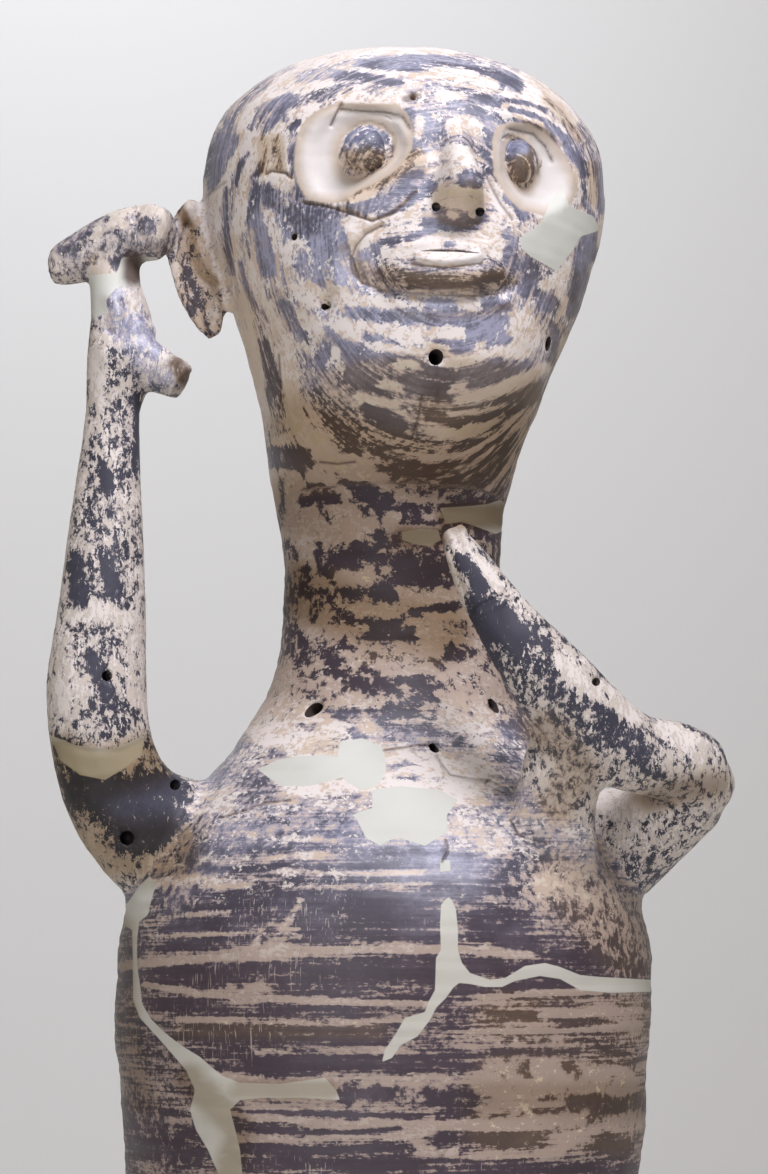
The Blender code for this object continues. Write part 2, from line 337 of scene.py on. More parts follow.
NOSE = [
    (440, 125), (478, 122), (482, 150), (490, 190), (488, 224), (426, 224), (424, 195), (436, 150),
]
LIPS = [
    (376, 262), (396, 248), (440, 238), (484, 242), (508, 258), (500, 280), (440, 291), (388, 284),
]
FENCES = (  # how much smoothing each outline lets through
    (0.15, SOCKET), (0.15, OTHER_SOCKET), (0.06, PELLET), (0.06, OTHER_PELLET), (0.12, NOSE),
    (0.12, LIPS),
)
print(len(FENCES), "features fenced")

# %% Smooth all but the features


def nearest(places, line):
    """How far off a bent line each place is."""
    line = np.asarray(line, float)
    best = np.full(len(places), np.inf)
    for start, end in zip(line, line[1:]):
        step = end - start
        t = np.clip((places - start) @ step / np.linalg.norm(step) ** 2, 0, 1)
        off = places - start - t[:, None] * step
        best = np.minimum(best, np.linalg.norm(off, axis=1))
    return best


def inside(places, outline):
    """Signed distance to a closed outline in pixels: above 0 inside it."""
    away = nearest(places, [*outline, outline[0]])
    within = np.zeros(len(places), bool)
    for (x0, y0), (x1, y1) in zip(outline, [*outline[1:], outline[0]]):
        if y0 == y1:
            continue
        crosses = (y0 > places[:, 1]) != (y1 > places[:, 1])
        within ^= crosses & (places[:, 0] < (x1 - x0) * (places[:, 1] - y0) / (y1 - y0) + x0)
    return np.where(within, away, -away)


def weigh(thing, name, values):
    """Stores numbers from 0 to 1 as a vertex group, in steps of a twentieth."""
    group = thing.vertex_groups.new(name=name)
    steps = np.round(values * 20)
    for level in range(1, 21):
        chosen = np.flatnonzero(steps == level)
        if len(chosen):
            group.add(chosen.tolist(), level / 20, "REPLACE")


proud = stand_out(points)
thrown = 1 - 0.6 * ramp(proud, 2, 6)
thrown[(points[:, 0] < -58) & (points[:, 2] > FACE)] = 0.1  # the raised hand, axe and ear
near = np.flatnonzero((facing > -0.2) & (points[:, 2] > FACE) & (proud > -8))
for let_through, fence in FENCES:
    kept = ramp(inside(seen[near], fence), -8, 0)
    thrown[near] += (let_through - thrown[near]) * kept
weigh(figure, "thrown", thrown)
apply_modifier(figure, "SMOOTH", {"factor": 0.5, "iterations": 70, "vertex_group": "thrown"})
apply_modifier(figure, "SMOOTH", {"factor": 0.5, "iterations": 3})
print("smoothed; the wall's points stand out by", np.percentile(proud, (5, 50, 95)).round(1), "mm")

# %% [markdown]
# ## Sharp edges in the paint
# The outlines of the plaster fills and the thin bands that the wheel drew round the belly are
# measured on the photograph too. A band's row gives how much slip is left in it from 0 to 1, its
# half width in pixels and its line. The mesh is cut finer along all these, because the paint is
# kept on its points.
# %% Plaster fills and thin bands
FILLS = [  # the cheek, the neck, the chest and the belly
    [(541, 222), (546, 212), (549, 204), (556, 194), (561, 184), (564, 190), (566, 198),
     (570, 206), (578, 210), (585, 213), (593, 216), (597, 222), (598, 231), (590, 234),
     (582, 236), (576, 244), (573, 251), (567, 258), (561, 266), (556, 272), (551, 268),
     (540, 262), (531, 257), (523, 250), (519, 240), (527, 232), (535, 228)],
    [(440, 508), (470, 506), (488, 504), (500, 500), (508, 505), (505, 530), (496, 534), (480, 528),
     (462, 522), (446, 524)],
    [(402, 532), (420, 529), (438, 530), (441, 540), (430, 546), (414, 544), (402, 540)],
    [(340, 742), (362, 738), (384, 748), (386, 770), (378, 786), (360, 790), (344, 780),
     (336, 762)],
    [(258, 770), (276, 760), (300, 756), (330, 755), (345, 762), (340, 778), (310, 786),
     (280, 786)],
    [(372, 790), (398, 786), (420, 788), (440, 790), (458, 800), (452, 808), (447, 815), (448, 832),
     (438, 838), (425, 846), (415, 843), (400, 838), (390, 840), (380, 846), (366, 838), (357, 820),
     (352, 815), (362, 811), (372, 808)],
    [(448, 897), (441, 905), (440, 925), (441, 950), (436, 958), (435, 990), (428, 1003),
     (425, 1012), (405, 1018), (395, 1035), (385, 1050), (382, 1062), (392, 1058), (400, 1046),
     (418, 1036), (430, 1020), (436, 1008), (446, 998), (453, 988), (459, 983), (470, 984),
     (485, 987), (502, 987), (515, 981), (540, 976), (560, 979), (580, 990), (610, 993), (655, 992),
     (655, 980), (600, 977), (580, 975), (560, 967), (545, 963), (525, 966), (505, 978), (490, 980),
     (470, 973), (462, 963), (458, 950), (458, 930), (456, 910), (452, 900)],
    [(150, 876), (156, 884), (153, 895), (150, 905), (148, 915), (139, 922), (137, 940), (137, 965),
     (140, 985), (142, 1003), (150, 1018), (165, 1033), (182, 1046), (200, 1057), (222, 1076),
     (240, 1083), (280, 1084), (325, 1078), (336, 1090), (340, 1100), (300, 1098), (262, 1098),
     (240, 1100), (230, 1110), (234, 1125), (240, 1150), (243, 1182), (222, 1182), (208, 1150),
     (196, 1130), (190, 1110), (195, 1090), (186, 1070), (160, 1040), (140, 1018), (133, 1000),
     (133, 965), (132, 930), (124, 925), (126, 905), (140, 885)],
    [(440, 860), (450, 860), (451, 871), (440, 872)],
]
ARM_FILLS = [  # the raised elbow and the haft
    [(50, 735), (75, 745), (110, 750), (130, 742), (145, 735), (142, 755), (125, 768), (105, 780),
     (80, 775), (60, 760)],
    [(89, 276), (117, 273), (122, 257), (157, 257), (161, 262), (147, 273), (143, 285), (117, 287),
     (105, 301), (108, 313), (94, 318), (89, 311)],
]
BANDS = """
.46 2.5 230,833 290,838 340,842
.44 2.5 280,871 340,874 420,872
.46 2 270,885 350,887 430,884
.42 1.7 164,918 196,914 228,912
.42 2 150,936 220,934 300,936
.06 3.5 122,966 200,958 300,952 400,948 470,950 530,955
.08 2.5 145,984 200,994 300,1000 430,1004
.3 2 180,1020 300,1023 420,1022
.12 3 480,998 540,993 600,991
.1 3 540,1016 600,1012 640,1010
.15 2.5 470,1032 560,1030 640,1026
.9 2 240,1112 320,1114 420,1116
.9 2 260,1130 340,1133 400,1128
"""
print(len(FILLS) + len(ARM_FILLS), "plaster fills and", BANDS.count("\n") - 1, "bands outlined")

# %% [markdown]
# ## Marks of the hand
# Every crease, rim and crack is a line measured on the photograph, in its pixels. A row gives how
# far the clay moves in millimetres, how many pixels wide the move is, and the line.
# %% Lines pressed into and raised from the clay
HEAD_LINES = """
-0.9 4 381,226 366,234 356,246 351,260 353,273 362,283 378,288
-1.3 5 378,290 401,292 430,295 470,296 500,293 514,285
-0.7 1.8 303,203 325,206 345,212 372,221 392,214 404,204 416,192
2.2 11 352,203 374,191 400,175 420,163
-0.5 5 486,176 493,190 500,203 512,219
0.9 3.5 500,98 530,103 550,112 570,125 582,142
-0.35 3 500,108 530,116 548,127 560,138 570,150 580,165 586,185
0.8 3.5 497,113 521,117 545,127 562,142
-0.45 3.5 510,129 533,134 545,146 552,161
-0.5 1.5 506,138 512,135 519,139
0.3 5 338,97 322,103 307,111 299,120 291,133 288,150 288,170 292,188
-0.35 2.5 336,105 322,112 312,119 304,128 300,136
-0.9 6 341,109 360,111 385,112 402,116 410,128
0.4 9 338,93 370,91 402,94 414,106 420,130
-0.9 1.8 341,104 336,114 331,125
0.4 8 330,106 322,118 314,130
-0.3 1.5 388,118 380,114 366,113
-0.3 1.5 341,140 348,128 358,122 368,120 380,124 389,133
-0.6 2 266,174 272,171 285,173 291,178
-0.5 1.5 208,195 218,187 225,182
0.8 7 350,232 337,250 333,268 338,285
0.9 8 400,305 440,310 480,307 506,300
0.7 4.5 418,257 432,260 450,261 466,259 478,255
0.5 4 404,246 445,242 488,247
-0.5 3.5 412,264 445,268 482,263
0.9 8 390,276 440,284 492,275
"""
CRACKS = """
-0.6 1 437,365 438,380 437,395
-0.5 1 422,395 419,415 412,440
-0.4 1 320,462 338,464 355,462
-0.6 1.2 384,750 400,748 420,745 432,745
-0.8 1.5 437,755 443,766 450,775 470,779 490,780
-1.6 2.5 488,781 496,784 504,789
-0.5 1 220,818 240,812 265,803 290,800
-0.6 1.2 510,820 518,835 540,843 560,842
-0.5 1 446,840 448,852 442,862
-0.5 1 279,355 281,385 280,408
"""
LIMB_LINES = """
0.8 5 150,206 160,214 164,230 158,246
-0.7 4 133,209 137,227 142,241
-0.5 3 75,250 92,240 110,231 131,222 140,208
0.5 4 70,246 90,235 112,226
-0.6 9 104,258 122,262 140,262
-1.0 12 122,268 135,264 150,256
0.5 5 52,270 66,278 82,280
1.6 8 112,299 117,314
-1.2 4 108,330 116,334 124,329 128,316 127,304
1.2 12 138,330 150,343 160,356
-0.9 3.5 138,309 145,316 153,321
0.7 5 142,324 154,330
0.8 7 100,345 108,360
-0.8 5 166,366 160,380 156,396
-0.9 3 178,368 180,380 176,392
0.6 3 172,361 184,360 190,370
-2.6 5.5 190,226 193,250 203,272 216,284
0.7 4.5 181,212 177,236 177,262 181,288 190,309 203,328
-1.3 3.5 208,338 207,320 210,300 217,287
0.9 5 215,300 217,318
1.6 6 190,206 202,210 212,226
-1.0 4 442,532 452,565 463,598 472,613
0.8 3 441,528 448,556 459,590 468,608
-0.9 4 449,527 455,535 462,548
1.2 3 443,527 441,524
1.0 3 461,526 464,532
0.5 4 478,614 496,606 516,595
-0.6 2 471,609 490,601 513,588
-1.0 16 540,690 560,710 575,730
0.8 14 505,640 520,660 535,680
0.6 10 640,694 670,700
-0.5 14 600,735 640,735 680,735
-0.4 14 92,470 96,520
0.4 18 108,560 104,600
0.5 12 64,640 70,690
-0.4 4 58,742 90,752 120,752 142,742
0.4 5 60,765 90,776 124,770 140,757
"""


def read_rows(text):
    """Rows of two numbers and the points of a line, as written above."""
    for row in text.split("\n"):
        if row:
            first, second, *pairs = row.split()
            line = [tuple(float(n) for n in pair.split(",")) for pair in pairs]
            yield float(first), float(second), line


MARKS = (HEAD_LINES, CRACKS, LIMB_LINES)
print([len(list(read_rows(text))) for text in MARKS], "lines on the head, body and limbs")

# %% [markdown]
# ## A finer mesh along the lines
# A thin crease needs points closer together than the coarse squares have. Each square near one is
# cut in four, and in four again close by. Those of the face, and those along the edges of the fills
# and bands, are cut once.
# %% Cut the mesh finer along the lines


def close_by(spots, line, reach):
    """The numbers of those spots that lie within reach of the box round a line."""
    line = np.asarray(line)
    low, high = line.min(0) - reach, line.max(0) + reach
    return np.flatnonzero(((spots > low) & (spots < high)).all(1))


def closest_line(spots, lines, reach=12):
    """How close each spot is to any of the lines, in pixels, where that is within reach."""
    closest = np.full(len(spots), 99.0)
    for line in lines:
        near = close_by(spots, line, reach)
        closest[near] = np.minimum(closest[near], nearest(spots[near], line))
    return closest


NARROW = [  # creases too thin for the coarse mesh
    line
    for text in MARKS
    for _, width, line in read_rows(text)
    if width < 5
]
PAINT_EDGES = [[*outline, outline[0]] for outline in FILLS + ARM_FILLS]
PAINT_EDGES += [line for _, _, line in read_rows(BANDS)]


def refine(thing, wanted):
    """Cuts the faces round the wanted points in four."""
    loops = np.empty(len(thing.data.loops), int)
    thing.data.loops.foreach_get("vertex_index", loops)
    starts = np.empty(len(thing.data.polygons), int)
    thing.data.polygons.foreach_get("loop_start", starts)
    chosen = np.logical_or.reduceat(wanted[loops], starts)
    use_only(thing)
    bpy.ops.object.mode_set(mode="EDIT")
    bpy.ops.mesh.select_mode(type="FACE")
    bpy.ops.mesh.select_all(action="DESELECT")
    bpy.ops.object.mode_set(mode="OBJECT")
    thing.data.polygons.foreach_set("select", chosen)
    bpy.ops.object.mode_set(mode="EDIT")
    bpy.ops.mesh.subdivide(number_cuts=1)
    bpy.ops.object.mode_set(mode="OBJECT")


WIDE, CLOSE = 9, 5  # pixels from a narrow line that are cut finer, in the two rounds
for reach in (WIDE, CLOSE):
    points, seen, facing = survey(figure)
    wanted = (facing > 0.1) & (closest_line(seen, NARROW) < reach)
    if reach == WIDE:
        face_box = ((seen > (268, 88)) & (seen < (592, 305))).all(1)
        wanted |= (facing > 0) & face_box & (points[:, 2] > FACE)
        wanted |= (facing > 0.1) & (closest_line(seen, PAINT_EDGES) < 3.5) & (points[:, 2] < FACE)
    refine(figure, wanted)
print("refined to", len(figure.data.vertices), "points")

# %% [markdown]
# ## Pressing
# A crease in wet clay has soft sides. Each point therefore moves along its own outward direction,
# by an amount that fades like a bell across the line. The eyes' dishes are pressed in the same way,
# the wall gets the slight waves that the wheel left, and the pellets of the eyes become true balls.
# A mark on a limb must not land on the body behind it, so each limb is first told from the rest by
# its middle line.
# %% Tell the limbs apart
LINES = {  # the middle lines of these limbs, in mm
    "axe": [(-109, 1, 526), (-98, -3, 530), (-81, -9, 536.5), (-73, -12, 535.5)],
    "ear": [(-55, 0, 545), (-63.5, -2, 535), (-61.5, -3, 523), (-56.5, -5, 504.5)],
    "left_arm": [
        (52, -20, 332), (68, -35, 343), (78, -50, 351), (82.5, -61, 360.5), (74, -69, 366),
        (61, -74, 367), (47, -79, 373), (33, -83, 386), (21, -83, 400), (8, -79, 422),
        (3, -75, 433),
    ],
}


def sort_parts(thing, places):
    """Which points are on the axe, the ear, each arm and the inner wall."""
    proud = stand_out(places)
    # Millimetres from the middle lines, no more than 12 to 26 on the limb itself
    off = {name: nearest(places, line) for name, line in LINES.items()}
    part = {"within": hollow(thing, places)}
    outer = ~part["within"]
    part["axe"] = (
        outer & (off["axe"] < 12) & (places[:, 2] > 518) & (places[:, 0] < -68)
        & (off["axe"] < off["ear"] + 2)
    )
    part["ear"] = (
        outer & ~part["axe"] & (off["ear"] < 13) & (proud > 2.5) & (places[:, 0] < -50)
    )
    part["right_arm"] = (
        outer & ~part["axe"] & ~part["ear"] & (places[:, 0] < -50) & (proud > 3)
        & (places[:, 2] > SHOULDERS - 2)
    )
    part["left_arm"] = (
        outer & (places[:, 0] > -5) & (proud > 3) & (places[:, 2] > SHOULDERS)
        & (places[:, 2] < 440) & (off["left_arm"] < 26)
    )
    part["limb"] = part["axe"] | part["ear"] | part["right_arm"] | part["left_arm"]
    return part


points, seen, facing = survey(figure)
part = sort_parts(figure, points)
print({name: int(chosen.sum()) for name, chosen in part.items()})

# %% Press the marks in


def press(spots, text, lift):
    """Adds the moves of all rows to lift, each fading like a bell across its line."""
    for height, width, line in read_rows(text):
        near = close_by(spots, line, width * 3)
        away = nearest(spots[near], line)
        lift[near] += height * np.exp(-((away / width) ** 2))


proud = stand_out(points)
lift = np.zeros(len(points))
# The head's marks reach down the throat, and keep off the ear
head = np.flatnonzero((facing > 0) & (points[:, 2] > 430) & (points[:, 0] > -57))
body = np.flatnonzero((facing > 0) & (proud < 3.5))
limbs = np.flatnonzero((facing > 0) & part["limb"])
for chosen, text in zip((head, body, limbs), MARKS):
    marks = np.zeros(len(chosen))
    press(seen[chosen], text, marks)
    lift[chosen] += marks
for outline, depth, slope in ((SOCKET, 2.2, 26), (OTHER_SOCKET, 1.4, 20)):  # mm and pixels
    near = head[close_by(seen[head], outline, 3)]
    lift[near] -= depth * ramp(inside(seen[near], outline), -2, slope)
lift *= ramp(facing, 0, 0.3)
print("pressed", round(float(lift.min()), 2), "to", round(float(lift.max()), 2), "mm")

# %% The slight unevenness of a hand-thrown and hand-smoothed wall
turn = np.arctan2(points[:, 0], -points[:, 1])
height = points[:, 2]
uneven = np.zeros(len(points))
calm = 1 - 0.6 * ramp(height, 420, 470)
for size, wave, swing, phase in (
    (0.07, 5.2, 1.1, 0.3), (0.06, 8.7, 2.3, 1.9), (0.04, 3.4, 0.7, 4.0),
):
    uneven += calm * size * np.sin(2 * math.pi * height / wave + swing * np.sin(turn + phase))
for size, wave, phase in ((0.35, 46, 0.4), (0.2, 27, 2.2), (0.1, 15, 5.1)):
    k = 2 * math.pi / wave
    uneven += size * np.sin(k * points[:, 0] + phase) * np.sin(k * height + 2 * phase)
    uneven += size * 0.5 * np.sin(k * points[:, 1] - phase) * np.sin(k * height * 0.8 + phase)
lift += uneven * (1 - 0.7 * ramp(proud, 2, 5))
moved = points + read_normals(figure) * lift[:, None]
print("the wall waves by", round(float(np.abs(uneven).max()), 2), "mm at most")

# %% Round the pellets of the eyes


def write_points(thing, places):
    """Puts places in millimetres about the wheel's axis back into a mesh."""
    thing.data.vertices.foreach_set("co", (places * MM + AXIS).ravel())
    thing.data.update()


def ball_sizes(places, centre, half_sizes, turn):
    """Places in a pellet's own frame (across, out, up), where its surface is at a length of 1."""
    along = np.array((math.cos(turn), math.sin(turn), 0))
    out = np.array((math.sin(turn), -math.cos(turn), 0))
    off = places - centre
    return np.stack((off @ along, off @ out, off[:, 2]), 1) / half_sizes


def round_off(places, pellet):
    """Moves the points of an eye pellet onto a true ball."""
    scaled = ball_sizes(places, *pellet)
    size = np.linalg.norm(scaled, axis=1)
    share = (1 - ramp(size, 1.2, 1.4)) * ramp(scaled[:, 1], 0.05, 0.35)
    pull = (1 / np.maximum(size, 0.3) - 1) * share
    places += (places - pellet[0]) * pull[:, None]


PELLETS = (  # middle, half sizes across, out and up, turn to the side
    (np.array((-20.2, -64.2, 550.5)), (7.9, 8.0, 7.9), math.radians(-18)),
    (np.array((27.6, -64.4, 550.0)), (6.1, 7.4, 7.3), math.radians(22)),
)
for pellet in PELLETS:
    round_off(moved, pellet)
write_points(figure, moved)
print(len(PELLETS), "pellets rounded")

# %% [markdown]
# ## Thinning the mesh
# The even small squares are far too many. Decimation takes most of them away where the wall is
# smooth, and keeps them where it bends. The back and the inside may lose the most.
# %% Keep detail where it shows
KEPT_POINTS = {"inside": 5000, "back": 11500, "front": 42500, "face": 36000}

points, seen, facing = survey(figure)
number = {name: i for i, name in enumerate(KEPT_POINTS)}
regions = np.where(points[:, 2] > JAW, number["face"], number["front"])
regions[facing <= 0.05] = number["back"]
regions[hollow(figure, points)] = number["inside"]
edges = (regions == number["front"]) & (closest_line(seen, PAINT_EDGES) < 3)
regions[edges] = -1  # kept as they are
for name in KEPT_POINTS:
    weigh(figure, name, (regions == number[name]).astype(float))
for name, kept in KEPT_POINTS.items():
    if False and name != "inside":
        continue
    triangles = sum(len(face.vertices) - 2 for face in figure.data.polygons)
    spare = 2 * (int((regions == number[name]).sum()) - kept)
    if name == "front":
        spare += 2 * int(edges.sum())
    apply_modifier(figure, "DECIMATE", {
        "ratio": (triangles - spare) / triangles,
        "vertex_group": name,
        "vertex_group_factor": 1.0,
        "use_collapse_triangulate": True,
    })
figure.vertex_groups.clear()
print("thinned to", len(figure.data.polygons), "faces")

# %% [markdown]
# ## Holes
# Steam vents were pierced through the wall before firing, the nostrils were pricked, and the mouth
# was cut with a thin blade. Each is placed by where it shows on the photograph, and one Boolean
# cuts them all, so they are true holes with crisp rims. The vents in the arms are blind.
# %% List the vents, nostrils and mouth
HOLES = (  # the pixel, the radius and depth in mm, and whether it runs level to the middle
    (294, 237, 1.1, 16, True), (323, 306, 1.0, 16, True), (436, 357, 2.3, 18, True),
    (547, 344, 2.3, 16, True), (312, 710, 2.4, 18, True), (494, 706, 2.3, 18, True),
    (435, 748, 1.5, 18, True), (107, 676, 1.6, 6, False), (175, 785, 1.6, 5, False),
    (127, 838, 2.2, 7, False), (596, 682, 1.2, 6, False), (436, 207, 1.35, 7, False),
    (480, 212, 1.4, 7, False),
)
RIM = 14  # pixels round a level vent at which the wall is sound
FORWARD = 12 * MM  # how far in front of the axis the level vents point
SLIT = ((417, 249.5), (449, 250.5), (482, 252))  # the ends and middle of the mouth
SLIT_DEPTH, SLIT_HEIGHT = 5 * MM, 0.38 * MM
skin = BVHTree.FromObject(figure, bpy.context.evaluated_depsgraph_get())
print(len(HOLES), "round holes and a slit to cut")

# %% Place the cutters


def on_surface(column, row):
    """The place on the clay that shows at a pixel of the photograph, and the line of sight."""
    ray = view_axes @ np.array((column - PHOTO_WIDTH / 2, PHOTO_HEIGHT / 2 - row, -FOCAL))
    sight = Vector(ray).normalized()
    return skin.ray_cast(Vector(EYE), sight)[0], sight


cutters, bores = [], []
for column, row, radius, depth, level in HOLES:
    place, inwards = on_surface(column, row)
    if level:  # the middle of the wall round it, since the solid has a rougher vent there
        ring = [
            on_surface(column + RIM * math.cos(turn), row + RIM * math.sin(turn))[0]
            for turn in np.linspace(0, 2 * math.pi, 8, endpoint=False)
        ]
        place = sum(ring, Vector()) / len(ring)
        inwards = Vector((AXIS[0] - place.x, AXIS[1] - FORWARD - place.y, 0)).normalized()
    bpy.ops.mesh.primitive_cylinder_add(
        vertices=20,
        radius=radius * MM,
        depth=2 * depth * MM,
        location=place,
        rotation=inwards.to_track_quat("Z", "Y").to_euler(),
    )
    cutters.append(bpy.context.object)
    bores.append((np.array(place), np.array(inwards), radius * MM))
start, middle, end = (on_surface(*pixel)[0] for pixel in SLIT)
bpy.ops.mesh.primitive_uv_sphere_add(segments=32, ring_count=16, radius=1, location=middle)
slit = bpy.context.object
slit.scale = ((end - start).length / 2 * 1.02, SLIT_DEPTH, SLIT_HEIGHT)
slit.rotation_euler = (0, math.atan2(start.z - end.z, end.x - start.x), 0)
cutters.append(slit)
print("cutters stand", [round(cutter.location.z / MM) for cutter in cutters], "mm up")

# %% Cut them out
bpy.ops.object.select_all(action="DESELECT")
for cutter in cutters:
    cutter.select_set(True)
bpy.context.view_layer.objects.active = slit
bpy.ops.object.join()
bpy.ops.object.transform_apply(location=True, rotation=True, scale=True)
apply_modifier(figure, "BOOLEAN", {"operation": "DIFFERENCE", "solver": "MANIFOLD", "object": slit})
bpy.data.objects.remove(slit)

# The walls of the holes get a second material further down, a near-black painted shade
DEEPEST = 18 * MM
face_facts = {name: np.empty(len(figure.data.polygons) * 3) for name in ("center", "normal")}
for name, flat in face_facts.items():
    figure.data.polygons.foreach_get(name, flat)
in_hole = np.zeros(len(figure.data.polygons), int)
for place, inwards, radius in bores:
    off = face_facts["center"].reshape(-1, 3) - place
    along = off @ inwards
    aside = np.linalg.norm(off - along[:, None] * inwards, axis=1)
    wall_of_hole = np.abs(face_facts["normal"].reshape(-1, 3) @ inwards) < 0.35
    in_hole[wall_of_hole & (aside < radius * 1.01) & (np.abs(along) < DEEPEST)] = 1
figure.data.polygons.foreach_set("material_index", in_hole)
print(len(cutters), "holes cut,", int(in_hole.sum()), "faces in them, of", len(in_hole))
